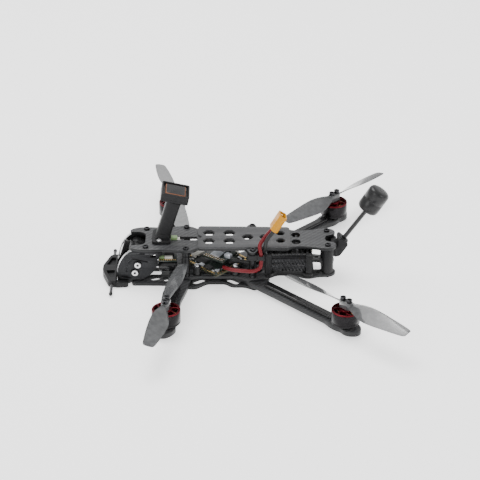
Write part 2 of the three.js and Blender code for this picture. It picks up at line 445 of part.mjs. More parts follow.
// ------------------------------------------------------------ receiver and capacitor behind the camera
add('receiver', join(prism(rounded([[51.4, -8.6], [63.7, -8.6], [63.7, 8.6], [51.4, 8.6]], 0.8), 14.3, 16.4), box(53, 60, -5, 4, 16.35, 17.6)), PLASTIC);
add('capacitor', join(cylX(4.0, 51.3, 63.6, 4.6, 9.9, 16)), PLASTIC);

// ------------------------------------------------------------ power lead
const XT = new THREE.Vector3(-15.3, 15, 47.9), XA = new THREE.Vector3(-0.532, -0.08, 0.843).normalize();
const XY = new THREE.Vector3(0, 1, 0).addScaledVector(XA, -XA.y).normalize(), XX = new THREE.Vector3().crossVectors(XY, XA);
const xtFrame = new THREE.Matrix4().makeBasis(XX, XY, XA).setPosition(XT);
{
  // connector: 10.2 by 5.2 mm with one pair of corners cut, open at its far end
  const w = 2.6, t = 5.1;
  const out = [[-w, -t], [w, -t], [w, t - 1.7], [w - 1.7, t], [-w + 1.7, t], [-w, t - 1.7]];
  const inn = out.map(([x, y]) => [x * 0.72, y * 0.86]);
  let g = prism(out, -6.2, 5.6);
  g = cut(g, prism(inn, 0.6, 6), cylZ(1.5, -7, -3.4, 0, 2.5, 10), cylZ(1.5, -7, -3.4, 0, -2.5, 10));
  add('power_connector', moved(join(g, ...[2.5, -2.5].map((y) => cylZ(0.95, 0.4, 5.0, 0, y, 8))), xtFrame), AMBER);
}
const tail = (y, k) => new THREE.Vector3(0, y, k).applyMatrix4(xtFrame).toArray();
// the two conductors cross by half a turn between the guide and the connector
const RED_PATH = [[20.6, 14.6, 13.9], [15.5, 18.6, 14.3], [7, 20.9, 14.5], [0.4, 21.4, 14.8], [-3.4, 20.6, 16.8], [-4.0, 19.2, 20.2], [-4.0, 18.8, 23], [-3.9, 18.7, 25.6], [-3.3, 18.0, 28.5], [-3.2, 16.6, 31.5], [-6.0, 14.9, 35.6], tail(-2.5, -7.2), tail(-2.5, -3.9)];
const BLACK_PATH = [[16.9, 8.0, 13.9], [11, 7.9, 14.3], [4.6, 9.6, 14.8], [-1.2, 12.4, 15.6], [-3.4, 14.6, 18.2], [-4.0, 15.5, 21], [-4.0, 15.6, 23], [-4.2, 15.8, 25.6], [-6.2, 16.3, 28.5], [-6.8, 17.3, 31.5], [-7.6, 18.0, 35.6], tail(2.5, -7.2), tail(2.5, -3.9)];
add('power_lead_red', pipe(RED_PATH, 1.3, 20), WIRE_R);
add('power_lead_black', pipe(BLACK_PATH, 1.3, 20), WIRE_B);
{
  // flexible guide on the left middle standoff that steers the power lead upwards
  let g = join(prism(rounded([[-2.4, 13.0], [5.0, 13.0], [5.0, 20.0], [-2.4, 20.0]], 1.6), 21.4, 25.2),
    prism(rounded([[-6.6, 13.0], [-1.6, 13.0], [-1.6, 21.4], [-6.6, 21.4]], 1.8), 22.4, 25.2));
  g = cut(g, cylZ(2.75, 20, 27, ...ROW3, 12), prism(stadium(-4.0, 15.4, -4.0, 18.9, 1.9, 3), 20, 27));
  add('power_lead_guide', g, TPU);
}

// ------------------------------------------------------------ motor wires in sleeves, on the arms
{
  const fx = (a) => [MX - Math.sin(5.7 * DEG) * a - 0.3, MY - Math.cos(5.7 * DEG) * a];
  const rx = (a) => [-MX + Math.SQRT1_2 * a, MY - Math.SQRT1_2 * a];
  for (const [name, f, w, a0, a1] of [['front', fx, 3.0, 9.6, 50.5], ['rear', rx, 2.9, 9.6, 69]]) {
    const p0 = f(a0), p1 = f(a1), sec = rounded([[-w, 0, 0], [w, 0, 0], [w, 1.5, 0.9], [w - 1.1, 2.3, 0.9], [-w + 1.1, 2.3, 0.9], [-w, 1.5, 0.9]], 0);
    const d = new THREE.Vector3(p1[0] - p0[0], p1[1] - p0[1], 0), L = d.length(); d.normalize();
    const side = new THREE.Vector3(-d.y, d.x, 0);
    const g = prism(sec, 0, L);
    // section x across the arm, section y upwards, extruded along the arm
    const m = new THREE.Matrix4().makeBasis(side, new THREE.Vector3(0, 0, 1), d).setPosition(p0[0], p0[1], Z_ARM[1]);
    g.applyMatrix4(m);
    add(`motor_wires_${name}_left`, join(g), PLASTIC);
    add(`motor_wires_${name}_right`, mirrorGeometryY(g), PLASTIC);
  }
}

// ------------------------------------------------------------ motors
function motorBase(rot) {              // with its bearings at both ends of the tube and its four mounting screws
  const b = [cylZ(7.0, Z_ARM[1], 7.0, 0, 0, 18), cylZ(2.9, 6.9, 13.9, 0, 0, 8)];
  for (let i = 0; i < 4; i++) {
    const q = rot + i * Math.PI / 2, x = PAD_HOLES * Math.cos(q), y = PAD_HOLES * Math.sin(q);
    b.push(cylZ(1.85, 0.9, 1.95, x, y, 6), cylZ(0.9, 1.9, 6.8, x, y, 6));
  }
  return cut(join(...b), cylZ(0.95, 4, 14.5, 0, 0, 8), cylZ(2.0, 8.2, 11.6, 0, 0, 10));
}
function bell(phase) {
  let cup = cut(cylZ(BELL_R, ...BELL_Z, 0, 0, 28), cylZ(BELL_R - BELL_WALL, BELL_Z[0] - 1, 15.3, 0, 0, 28), cylZ(7.7, 15, 18, 0, 0, 28));
  const hub = cylZ(3.9, 14.9, 17.4, 0, 0, 8);
  const arms = [];
  for (let i = 0; i < 3; i++) {
    const k = box(-8.2, 8.2, -0.7, 0.7, 15.35, 16.7); k.rotateZ(phase + i * Math.PI / 3); arms.push(k);
  }
  let g = join(cup, hub, ...arms, cylZ(0.75, 6.2, 15, 0, 0, 6));
  return g;
}
function propeller(dir) {
  // two blades along local X; the leading edge is on the side it turns towards and stands higher
  const secs = [[3.2, 4.6, 34, 1.9], [7, 6.4, 38, 1.6], [13, 10.2, 33, 1.35], [20, 12.3, 26, 1.2], [27, 12.2, 20.5, 1.05], [38, 10.4, 15, 0.9], [47.5, 8.1, 12, 0.75], [PROP_R, 5.8, 11, 0.6]];
  const prof = [[-0.5, 0], [0, 0.5], [0.5, 0.1], [0, -0.3]];
  const n = prof.length, pos = [];
  const P = secs.map(([r, c, a, t]) => prof.map(([u, v]) => {
    const q = a * DEG, y = (u * c - 0.06 * c), z = v * t;
    // y runs towards the trailing edge when u is negative
    return [r, dir * (y * Math.cos(q) - z * Math.sin(q)), y * Math.sin(q) + z * Math.cos(q)];
  }));
  const tri = (a, b, c) => { if (dir > 0) pos.push(...a, ...b, ...c); else pos.push(...a, ...c, ...b); };
  for (let i = 0; i + 1 < P.length; i++) for (let j = 0; j < n; j++) {
    const k = (j + 1) % n;
    tri(P[i][j], P[i + 1][j], P[i + 1][k]); tri(P[i][j], P[i + 1][k], P[i][k]);
  }
  const cap = (s, flip) => { for (let j = 1; j + 1 < n; j++) (flip ? tri(s[0], s[j], s[j + 1]) : tri(s[0], s[j + 1], s[j])); };
  cap(P[0], true); cap(P[P.length - 1], false);
  let blade = new THREE.BufferGeometry();
  blade.setAttribute('position', new THREE.BufferAttribute(new Float32Array(pos), 3));
  const test = toSolid(blade);
  if (test.volume() < 0) { for (let i = 0; i < pos.length; i += 9) for (let k = 0; k < 3; k++) { const t = pos[i + 3 + k]; pos[i + 3 + k] = pos[i + 6 + k]; pos[i + 6 + k] = t; } blade = new THREE.BufferGeometry(); blade.setAttribute('position', new THREE.BufferAttribute(new Float32Array(pos), 3)); }
  const other = blade.clone(); other.rotateZ(Math.PI);
  const hub = prism(stadium(-2.5, 0, 2.5, 0, 2.5, 3), -3.0, 2.0);
  let g = join(blade, other, hub);
  return cut(g, cylZ(1.2, -4, 3, 2.5, 0, 6), cylZ(1.2, -4, 3, -2.5, 0, 6));
}
for (const [name, x, y, dir, ang, rot] of MOTORS) {
  const at = (g) => { const k = g.clone(); k.translate(x, y, 0); return k; };
  add(`motor_base_${name}`, at(motorBase(rot)), ALU_B);
  add(`motor_stator_${name}`, at(cut(cylZ(7.0, 8.4, 13.2, 0, 0, 18), cylZ(3.25, 8, 14, 0, 0, 14))), COPPER);
  const a = ang * DEG;
  const p = propeller(dir); p.rotateZ(a); p.translate(0, 0, PROP_Z);
  add(`propeller_${name}`, at(p), PROP);
  const sc = [2.5, -2.5].map((d) => {
    const X = d * Math.cos(a), Y = d * Math.sin(a), z = PROP_Z + 2.05;
    return join(cylZ(1.9, z, z + 2.1, X, Y, 6), cylZ(0.92, 15.5, z + 0.05, X, Y, 6));
  });
  add(`motor_bell_${name}`, at(join(bell(a), ...sc)), RED);            // with its shaft and the two propeller screws
}

export default drone;
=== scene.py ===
# Looks of the quadcopter drone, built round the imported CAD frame. Lengths in the helpers are in
# millimetres in the row frame, and are turned into metres when a mesh is made.
import bpy, bmesh, math, random
from mathutils import Matrix, Vector


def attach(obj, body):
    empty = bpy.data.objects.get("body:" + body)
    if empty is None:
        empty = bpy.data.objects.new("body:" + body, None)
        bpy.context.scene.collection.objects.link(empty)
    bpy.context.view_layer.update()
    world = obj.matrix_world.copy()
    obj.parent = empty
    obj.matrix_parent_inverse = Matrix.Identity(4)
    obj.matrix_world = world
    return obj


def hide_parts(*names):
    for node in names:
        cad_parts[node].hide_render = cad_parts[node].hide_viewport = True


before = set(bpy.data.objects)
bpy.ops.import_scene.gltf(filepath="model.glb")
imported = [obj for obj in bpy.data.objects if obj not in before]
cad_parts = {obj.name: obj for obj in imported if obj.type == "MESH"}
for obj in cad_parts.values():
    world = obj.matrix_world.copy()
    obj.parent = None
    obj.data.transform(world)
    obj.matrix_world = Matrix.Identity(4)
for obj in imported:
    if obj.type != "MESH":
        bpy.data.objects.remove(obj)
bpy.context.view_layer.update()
S = 0.001
DEG = math.pi / 180
SIDES = (1, -1)
random.seed(4)

# ---------------------------------------------------------------- camera
cam_data = bpy.data.cameras.new("view")
cam_data.sensor_width = 36
cam_data.lens = 136.735
cam_data.clip_start = 0.05
cam = bpy.data.objects.new("view", cam_data)
bpy.context.scene.collection.objects.link(cam)
RX = Vector((-0.99997646, 0.00610216, 0.00313843))
RD = Vector((0.00020847, 0.48417352, -0.87497198))
RF = Vector((-0.00685876, -0.87495072, -0.48416339))
cm = Matrix.Identity(4)
for i in range(3):
    cm[i][0], cm[i][1], cm[i][2] = RX[i], -RD[i], -RF[i]
cm.translation = Vector((0.017913, 1.055893, 0.610442))
cam.matrix_world = cm
bpy.context.scene.camera = cam

# ---------------------------------------------------------------- dimensions shared with the frame
MX, MY = 56.6, 72.8
Z_BP, Z_ARM, Z_MP, Z_TP = (0, 2), (2, 5.5), (5.5, 7.5), (25.5, 27.5)
PAD_T = 1.2
PROP_R, PROP_Z = 50.8, 20.7
ROW1, ROW2, ROW3, ROW4 = (71.7, 12.3), (45.2, 14.7), (1.3, 16.5), (-48.1, 9.8)
SIDE_Y = (10.5, 13.5)
PIVOT = (77, 15.3)
CAM_TILT = 20
PAD_HOLES = 4.5
FRONT_ROT, REAR_ROT = 84.5 * DEG + math.pi / 4, 135 * DEG + math.pi / 4
STUDS = ((47.5, 6), (12.5, 4.5))
STACK = ((12.65, 12.75), (38.15, 12.75), (12.65, -12.75), (38.15, -12.75))


# ---------------------------------------------------------------- node helpers
class Mat:
    """A node material: texture coordinates are the row frame in millimetres."""

    def __init__(self, name, color, rough, metal=0.0, **sockets):
        self.m = bpy.data.materials.new(name)
        self.m.use_nodes = True
        self.t = self.m.node_tree
        self.b = self.t.nodes["Principled BSDF"]
        self.b.inputs["Base Color"].default_value = (*color[:3], 1)
        self.b.inputs["Roughness"].default_value = rough
        self.b.inputs["Metallic"].default_value = metal
        for k, v in sockets.items():
            self.b.inputs[k.replace("_", " ")].default_value = v
        co = self.t.nodes.new("ShaderNodeTexCoord")
        sc = self.t.nodes.new("ShaderNodeVectorMath")
        sc.operation = "SCALE"
        sc.inputs["Scale"].default_value = 1000.0
        self.t.links.new(co.outputs["Object"], sc.inputs[0])
        self.co = sc.outputs[0]

    def node(self, kind, **inputs):
        n = self.t.nodes.new(kind)
        for k, v in inputs.items():
            s = n.inputs[k.replace("_", " ")] if not k.startswith("i") or not k[1:].isdigit() else n.inputs[int(k[1:])]
            if isinstance(v, bpy.types.NodeSocket):
                self.t.links.new(v, s)
            else:
                s.default_value = v
        return n

    def math(self, op, a, b=0.0, c=0.0):
        n = self.t.nodes.new("ShaderNodeMath")
        n.operation = op
        for i, v in enumerate((a, b, c)):
            if isinstance(v, bpy.types.NodeSocket):
                self.t.links.new(v, n.inputs[i])
            else:
                n.inputs[i].default_value = v
        return n.outputs[0]

    def noise(self, scale, detail=4, rough=0.55, co=None):
        n = self.node("ShaderNodeTexNoise", Scale=scale, Detail=detail, Roughness=rough)
        self.t.links.new(co or self.co, n.inputs["Vector"])
        return n.outputs["Fac"]

    def ramp(self, fac, lo, hi, a=0.3, b=0.7):
        n = self.t.nodes.new("ShaderNodeMapRange")
        n.inputs["From Min"].default_value, n.inputs["From Max"].default_value = a, b
        n.inputs["To Min"].default_value, n.inputs["To Max"].default_value = lo, hi
        self.t.links.new(fac, n.inputs["Value"])
        return n.outputs[0]

    def colors(self, fac, c0, c1, a=0.3, b=0.7):
        n = self.t.nodes.new("ShaderNodeValToRGB")
        n.color_ramp.elements[0].position, n.color_ramp.elements[1].position = a, b
        n.color_ramp.elements[0].color, n.color_ramp.elements[1].color = (*c0, 1), (*c1, 1)
        self.t.links.new(fac, n.inputs[0])
        return n.outputs["Color"]

    def set(self, socket, out):
        self.t.links.new(out, self.b.inputs[socket])

    def bump(self, height, dist, strength=1.0, prev=None):
        n = self.t.nodes.new("ShaderNodeBump")
        n.inputs["Distance"].default_value = dist * S
        n.inputs["Strength"].default_value = strength
        self.t.links.new(height, n.inputs["Height"])
        if prev is not None:
            self.t.links.new(prev, n.inputs["Normal"])
        self.t.links.new(n.outputs[0], self.b.inputs["Normal"])
        return n.outputs[0]

    def edge_wear(self):
        """0 on flats to 1 on convex edges."""
        g = self.t.nodes.new("ShaderNodeNewGeometry")
        return self.ramp(g.outputs["Pointiness"], 0, 1, 0.53, 0.62)


def carbon():
    a = Mat("carbon_weave", (0.05, 0.052, 0.056), 0.42, 0.0)
    a.b.inputs["Coat Weight"].default_value = 0.12
    a.b.inputs["Coat Roughness"].default_value = 0.3
    sep = a.t.nodes.new("ShaderNodeSeparateXYZ")
    a.t.links.new(a.co, sep.inputs[0])
    geo = a.t.nodes.new("ShaderNodeNewGeometry")
    nz = a.t.nodes.new("ShaderNodeSeparateXYZ")
    a.t.links.new(geo.outputs["Normal"], nz.inputs[0])
    flat = a.math("GREATER_THAN", a.math("ABSOLUTE", nz.outputs[2]), 0.7)
    # 2/2 twill on the flats, one tow is 0.95 mm
    u, v = a.math("DIVIDE", sep.outputs[0], 0.95), a.math("DIVIDE", sep.outputs[1], 0.95)
    cell = a.math("SUBTRACT", a.math("FLOOR", u), a.math("FLOOR", v))
    warp = a.math("LESS_THAN", a.math("FLOORED_MODULO", cell, 4.0), 2.0)
    along = a.math("ABSOLUTE", a.math("SUBTRACT", a.math("FRACT", u), 0.5))
    across = a.math("ABSOLUTE", a.math("SUBTRACT", a.math("FRACT", v), 0.5))
    crown = a.math("ADD", a.math("MULTIPLY", warp, across), a.math("MULTIPLY", a.math("SUBTRACT", 1.0, warp), along))
    dome = a.math("SUBTRACT", 0.5, crown)
    fine = a.noise(9.0, 3)
    # plies show as fine layers on the machined edges
    ply = a.math("ABSOLUTE", a.math("SUBTRACT", a.math("FRACT", a.math("MULTIPLY", sep.outputs[2], 4.0)), 0.5))
    tone = a.math("ADD", a.math("ADD", a.math("MULTIPLY", warp, 0.26), 0.16), a.math("MULTIPLY", dome, 0.75))
    tone = a.math("MULTIPLY", tone, a.ramp(a.noise(1.1, 5, 0.7), 0.62, 1.25))
    mix = a.math("ADD", a.math("MULTIPLY", flat, tone), a.math("MULTIPLY", a.math("SUBTRACT", 1.0, flat), a.math("MULTIPLY", ply, 0.25)))
    a.set("Base Color", a.colors(mix, (0.008, 0.0083, 0.0090), (0.098, 0.099, 0.103), 0.0, 1.0))
    a.set("Roughness", a.ramp(a.noise(0.35, 4), 0.34, 0.5))
    a.bump(a.math("ADD", a.math("MULTIPLY", a.math("MULTIPLY", dome, flat), 1.0), a.math("MULTIPLY", fine, 0.15)), 0.05, 0.7)
    return a.m


def printed():
    """Flexible filament: fine layer lines and a soft sheen."""
    a = Mat("flexible_print", (0.012, 0.012, 0.013), 0.5)
    sep = a.t.nodes.new("ShaderNodeSeparateXYZ")
    a.t.links.new(a.co, sep.inputs[0])
    wob = a.math("ADD", sep.outputs[2], a.math("MULTIPLY", a.noise(0.4, 2), 0.12))
    line = a.math("ABSOLUTE", a.math("SUBTRACT", a.math("FRACT", a.math("DIVIDE", wob, 0.28)), 0.5))
    n = a.noise(2.2, 5)
    a.set("Base Color", a.colors(n, (0.006, 0.006, 0.0065), (0.017, 0.017, 0.018)))
    a.set("Roughness", a.ramp(n, 0.36, 0.54))
    a.bump(a.math("ADD", line, a.math("MULTIPLY", n, 0.3)), 0.05, 0.8)
    return a.m


def speckled(name, c0, c1, r0, r1, scale=3.0, metal=0.0, bump=0.02, **k):
    a = Mat(name, c0, r0, metal, **k)
    n = a.noise(scale, 5)
    a.set("Base Color", a.colors(n, c0, c1))
    a.set("Roughness", a.ramp(a.noise(scale * 0.37, 4), r0, r1))
    a.bump(n, bump, 0.6)
    return a


def anodised(name, c0, c1, r0=0.28, r1=0.42, worn=(0.35, 0.35, 0.36)):
    a = Mat(name, c0, r0, 0.85)
    n = a.noise(0.9, 5)
    base = a.colors(n, c0, c1)
    mix = a.t.nodes.new("ShaderNodeMix")
    mix.data_type = "RGBA"
    fac = a.math("MULTIPLY", a.edge_wear(), a.ramp(a.noise(1.7, 5), 0.0, 0.75, 0.4, 0.65))
    a.t.links.new(fac, mix.inputs[0])
    a.t.links.new(base, mix.inputs[6])
    mix.inputs[7].default_value = (*worn, 1)
    a.set("Base Color", mix.outputs[2])
    a.set("Roughness", a.ramp(n, r0, r1))
    a.bump(a.noise(1.6, 3), 0.004, 0.35)
    return a.m


def foam():
    a = Mat("foam_sheet", (0.1, 0.1, 0.105), 0.9)
    a.b.inputs["Sheen Weight"].default_value = 0.25
    n, f = a.noise(0.5, 4), a.noise(7.0, 6, 0.7)
    a.set("Base Color", a.colors(a.math("ADD", a.math("MULTIPLY", n, 0.5), a.math("MULTIPLY", f, 0.5)), (0.040, 0.0403, 0.0425), (0.066, 0.0663, 0.069)))
    a.bump(f, 0.08, 0.8)
    return a.m


def board():
    """Black solder mask with faint tracks under it."""
    a = Mat("circuit_board", (0.01, 0.014, 0.012), 0.3)
    a.b.inputs["Coat Weight"].default_value = 0.3
    vor = a.node("ShaderNodeTexVoronoi", Scale=1.1)
    vor.distance = "MANHATTAN"
    vor.feature = "DISTANCE_TO_EDGE" if False else "F1"
    a.t.links.new(a.co, vor.inputs["Vector"])
    line = a.math("ABSOLUTE", a.math("SUBTRACT", a.math("FRACT", a.math("MULTIPLY", vor.outputs["Distance"], 3.0)), 0.5))
    t = a.ramp(line, 0, 1, 0.1, 0.2)
    a.set("Base Color", a.colors(t, (0.007, 0.011, 0.009), (0.022, 0.032, 0.026), 0.2, 0.8))
    a.set("Roughness", a.ramp(a.noise(2.0, 4), 0.22, 0.42))
    a.bump(t, 0.02, 0.6)
    return a.m


def propeller_plastic():
    """Smoky translucent polycarbonate."""
    a = Mat("propeller_plastic", (0.09, 0.092, 0.095), 0.16)
    a.b.inputs["Transmission Weight"].default_value = 0.28
    a.b.inputs["IOR"].default_value = 1.3
    a.b.inputs["Coat Weight"].default_value = 0.25
    n = a.noise(0.25, 3)
    a.set("Base Color", a.colors(n, (0.075, 0.0765, 0.079), (0.115, 0.117, 0.12)))
    a.set("Roughness", a.ramp(a.noise(0.5, 3), 0.1, 0.18))
    a.bump(a.noise(0.3, 2), 0.01, 0.3)
    return a.m


def windings():
    a = Mat("enamelled_copper", (0.45, 0.17, 0.07), 0.28, 1.0)
    sep = a.t.nodes.new("ShaderNodeSeparateXYZ")
    a.t.links.new(a.co, sep.inputs[0])
    line = a.math("ABSOLUTE", a.math("SUBTRACT", a.math("FRACT", a.math("DIVIDE", sep.outputs[2], 0.32)), 0.5))
    a.set("Base Color", a.colors(line, (0.14, 0.045, 0.02), (0.62, 0.27, 0.12), 0.05, 0.4))
    a.set("Roughness", a.ramp(a.noise(3.0), 0.22, 0.4))
    a.bump(line, 0.08, 1.0)
    return a.m


def brushed(name, c0, c1, r0, r1):
    a = Mat(name, c0, r0, 1.0)
    mp = a.node("ShaderNodeMapping")
    mp.inputs["Scale"].default_value = (1.0, 1.0, 9.0)
    a.t.links.new(a.co, mp.inputs["Vector"])
    n = a.noise(4.0, 5, 0.6, mp.outputs[0])
    a.set("Base Color", a.colors(n, c0, c1))
    a.set("Roughness", a.ramp(n, r0, r1))
    a.bump(n, 0.01, 0.4)
    return a.m


CARBON, PRINT, FOAM, BOARD, PROP, COPPER = carbon(), printed(), foam(), board(), propeller_plastic(), windings()
BLACK_ANO = anodised("black_anodised", (0.006, 0.006, 0.0065), (0.014, 0.014, 0.015), worn=(0.16, 0.16, 0.165))
RED_ANO = anodised("dark_red_anodised", (0.060, 0.0012, 0.004), (0.105, 0.0025, 0.008), 0.24, 0.36, (0.22, 0.02, 0.03))
GREY_ANO = anodised("grey_anodised", (0.013, 0.0133, 0.0145), (0.023, 0.0235, 0.025), 0.34, 0.46, (0.2, 0.2, 0.205))
BELL_BLACK = anodised("bell_black", (0.0045, 0.004, 0.0045), (0.010, 0.009, 0.010), 0.24, 0.34, (0.08, 0.08, 0.082))
STEEL = brushed("bright_steel", (0.55, 0.55, 0.56), (0.74, 0.74, 0.75), 0.18, 0.34)
DARK_STEEL = brushed("black_oxide_steel", (0.016, 0.016, 0.018), (0.05, 0.05, 0.053), 0.2, 0.32)
GOLD = brushed("gold_plate", (0.62, 0.40, 0.13), (0.85, 0.60, 0.24), 0.2, 0.36)
SOLDER = brushed("solder", (0.45, 0.45, 0.46), (0.72, 0.72, 0.73), 0.25, 0.45)
PLASTIC = speckled("black_plastic", (0.007, 0.007, 0.0075), (0.014, 0.014, 0.015), 0.24, 0.34, 0.8, bump=0.0).m
CHIP = speckled("chip_resin", (0.014, 0.014, 0.015), (0.03, 0.03, 0.031), 0.45, 0.6, 9.0, bump=0.02).m
SLEEVE = speckled("shrink_sleeve", (0.006, 0.006, 0.0065), (0.013, 0.013, 0.014), 0.16, 0.26, 0.8, bump=0.012, Coat_Weight=0.25).m
CERAMIC = speckled("fired_ceramic", (0.16, 0.055, 0.022), (0.24, 0.09, 0.04), 0.45, 0.6, 3.0).m
AMBER = speckled("amber_nylon", (0.43, 0.175, 0.0), (0.54, 0.245, 0.001), 0.3, 0.42, 1.2, bump=0.004).m
RED_WIRE = speckled("red_silicone", (0.095, 0.0012, 0.004), (0.15, 0.003, 0.008), 0.3, 0.44, 1.5, bump=0.004).m
BLACK_WIRE = speckled("black_silicone", (0.010, 0.010, 0.010), (0.022, 0.022, 0.022), 0.32, 0.46, 1.5, bump=0.02).m
CREAM = speckled("cream_nylon", (0.62, 0.60, 0.54), (0.74, 0.72, 0.66), 0.4, 0.55, 2.0).m
GREEN = speckled("green_nylon", (0.16, 0.26, 0.10), (0.24, 0.36, 0.16), 0.35, 0.5, 2.0).m
OLIVE = speckled("board_edge", (0.16, 0.12, 0.045), (0.26, 0.2, 0.08), 0.5, 0.65, 4.0).m
GREY_TUBE = speckled("grey_tube", (0.05, 0.05, 0.052), (0.09, 0.09, 0.093), 0.2, 0.32, 2.0).m
BRIGHT_CHIP = speckled("pale_can", (0.5, 0.53, 0.58), (0.66, 0.69, 0.74), 0.3, 0.45, 3.0, metal=0.6).m
MAGNET = brushed("nickel_plate", (0.35, 0.35, 0.36), (0.55, 0.55, 0.56), 0.22, 0.35)
GLASS_A = Mat("lens_glass", (0.012, 0.016, 0.03), 0.05, Coat_Weight=1.0, Specular_IOR_Level=0.9)
GLASS_A.set("Base Color", GLASS_A.colors(GLASS_A.noise(0.15, 2), (0.008, 0.01, 0.022), (0.03, 0.02, 0.05)))
GLASS = GLASS_A.m
for _m, _level in ((CARBON, 0.22), (PRINT, 0.2), (PLASTIC, 0.3), (SLEEVE, 0.3), (CHIP, 0.25), (BLACK_WIRE, 0.25), (GREY_TUBE, 0.3), (FOAM, 0.15), (RED_WIRE, 0.3), (AMBER, 0.3), (BOARD, 0.3)):
    _m.node_tree.nodes["Principled BSDF"].inputs["Specular IOR Level"].default_value = _level


# ---------------------------------------------------------------- mesh helpers
def finish_mesh(name, bm, mats, body="frame", smooth=40, stands_for=()):
    bmesh.ops.recalc_face_normals(bm, faces=bm.faces[:])
    me = bpy.data.meshes.new(name)
    bm.to_mesh(me)
    bm.free()
    o = bpy.data.objects.new(name, me)
    for m in (mats if isinstance(mats, (list, tuple)) else [mats]):
        me.materials.append(m)
    bpy.context.scene.collection.objects.link(o)
    if smooth:
        me.shade_smooth()
        try:
            me.set_sharp_from_angle(angle=smooth * DEG)
        except Exception:
            pass
    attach(o, body)
    if stands_for:
        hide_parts(*stands_for)
    return o


def rounded(pts, r=0.0, seg=5):
    out, n = [], len(pts)
    for i in range(n):
        A, P, B = pts[i - 1], pts[i], pts[(i + 1) % n]
        rr = P[2] if len(P) > 2 else r
        la, lb = math.hypot(A[0] - P[0], A[1] - P[1]), math.hypot(B[0] - P[0], B[1] - P[1])
        d = min(rr, la * 0.48, lb * 0.48)
        if d < 0.1:
            out.append((P[0], P[1]))
            continue
        a = (P[0] + (A[0] - P[0]) / la * d, P[1] + (A[1] - P[1]) / la * d)
        b = (P[0] + (B[0] - P[0]) / lb * d, P[1] + (B[1] - P[1]) / lb * d)
        for k in range(seg + 1):
            t = k / seg
            w = 1 - t
            out.append((w * w * a[0] + 2 * w * t * P[0] + t * t * b[0], w * w * a[1] + 2 * w * t * P[1] + t * t * b[1]))
    return out


def mirrored(half):
    return list(half) + [(p[0], -p[1], *p[2:]) for p in reversed(half) if abs(p[1]) > 1e-6]


def circle(x, y, r, n=28, a0=0.0):
    return [(x + r * math.cos(a0 + 2 * math.pi * i / n), y + r * math.sin(a0 + 2 * math.pi * i / n)) for i in range(n)]


def stadium(x0, y0, x1, y1, r, n=10):
    t, a = math.atan2(y1 - y0, x1 - x0), []
    for i in range(n + 1):
        q = t - math.pi / 2 + math.pi * i / n
        a.append((x1 + r * math.cos(q), y1 + r * math.sin(q)))
    for i in range(n + 1):
        q = t + math.pi / 2 + math.pi * i / n
        a.append((x0 + r * math.cos(q), y0 + r * math.sin(q)))
    return a


def hex_slot(x0, x1, y0, y1, c=0.42):
    ym, k = (y0 + y1) / 2, (y1 - y0) * c
    return [(x0 + k * 0.1, y0 + k, .4), (x0 + k * 0.8, y0, .4), (x1 - k * 0.8, y0, .4), (x1, ym - 0.5, .3), (x1, ym + 0.5, .3), (x1 - k * 0.8, y1, .4), (x0 + k * 0.8, y1, .4), (x0 + k * 0.1, y1 - k, .4)]


def plate_mesh(outline, holes, z0, z1, bevel=0.18, matrix=None, segs=2):
    """An extruded outline with holes and bevelled edges, as a mesh in metres."""
    cu = bpy.data.curves.new("tmp", "CURVE")
    cu.dimensions, cu.fill_mode = "2D", "BOTH"
    cu.extrude = max((z1 - z0) / 2 - bevel, 0.001)
    cu.bevel_depth, cu.bevel_resolution = bevel, segs - 1
    cu.offset = -bevel
    for k, loop in enumerate([outline, *holes]):
        sp = cu.splines.new("POLY")
        sp.points.add(len(loop) - 1)
        for i, p in enumerate(loop):
            sp.points[i].co = (p[0], p[1], 0, 1)
        sp.use_cyclic_u = True
    o = bpy.data.objects.new("tmp", cu)
    bpy.context.scene.collection.objects.link(o)
    bpy.context.view_layer.update()
    me = bpy.data.meshes.new_from_object(o.evaluated_get(bpy.context.evaluated_depsgraph_get()))
    bpy.data.objects.remove(o)
    bpy.data.curves.remove(cu)
    m = Matrix.Translation((0, 0, (z0 + z1) / 2))
    if matrix is not None:
        m = matrix @ m
    me.transform(Matrix.Scale(S, 4) @ m)
    bm = bmesh.new()
    bm.from_mesh(me)
    bpy.data.meshes.remove(me)
    bmesh.ops.remove_doubles(bm, verts=bm.verts[:], dist=1e-7)
    return bm


def merged(*parts):
    out = bmesh.new()
    for b in parts:
        me = bpy.data.meshes.new("t")
        b.to_mesh(me)
        b.free()
        out.from_mesh(me)
        bpy.data.meshes.remove(me)
    return out


def set_mat(bm, index, test=None):
    for f in bm.faces:
        if test is None or test(f):
            f.material_index = index
    return bm


def lathe(profile, n=48, matrix=None):
    """profile: (radius, z) from the axis to the axis."""
    bm = bmesh.new()
    rings = []
    for r, z in profile:
        if r < 1e-6:
            rings.append([bm.verts.new((0, 0, z * S))])
        else:
            rings.append([bm.verts.new((r * S * math.cos(2 * math.pi * i / n), r * S * math.sin(2 * math.pi * i / n), z * S)) for i in range(n)])
    for a, b in zip(rings, rings[1:]):
        for i in range(n):
            j = (i + 1) % n
            vs = [a[i % len(a)], a[j % len(a)], b[j % len(b)], b[i % len(b)]]
            uniq = []
            for v in vs:
                if v not in uniq:
                    uniq.append(v)
            if len(uniq) > 2:
                bm.faces.new(uniq)
    if len(rings[0]) > 1 and len(rings[-1]) > 1:
        for i in range(n):
            j = (i + 1) % n
            bm.faces.new([rings[-1][i], rings[-1][j], rings[0][j], rings[0][i]])
    if matrix is not None:
        bm.transform(mm(matrix))
    return bm


def mm(m):
    """A matrix whose translation is in millimetres, for a mesh in metres."""
    k = m.copy()
    k.translation = m.translation * S
    return k


def place(x, y, z, rot=0.0, axis="Z"):
    return Matrix.Translation((x, y, z)) @ Matrix.Rotation(rot, 4, axis)


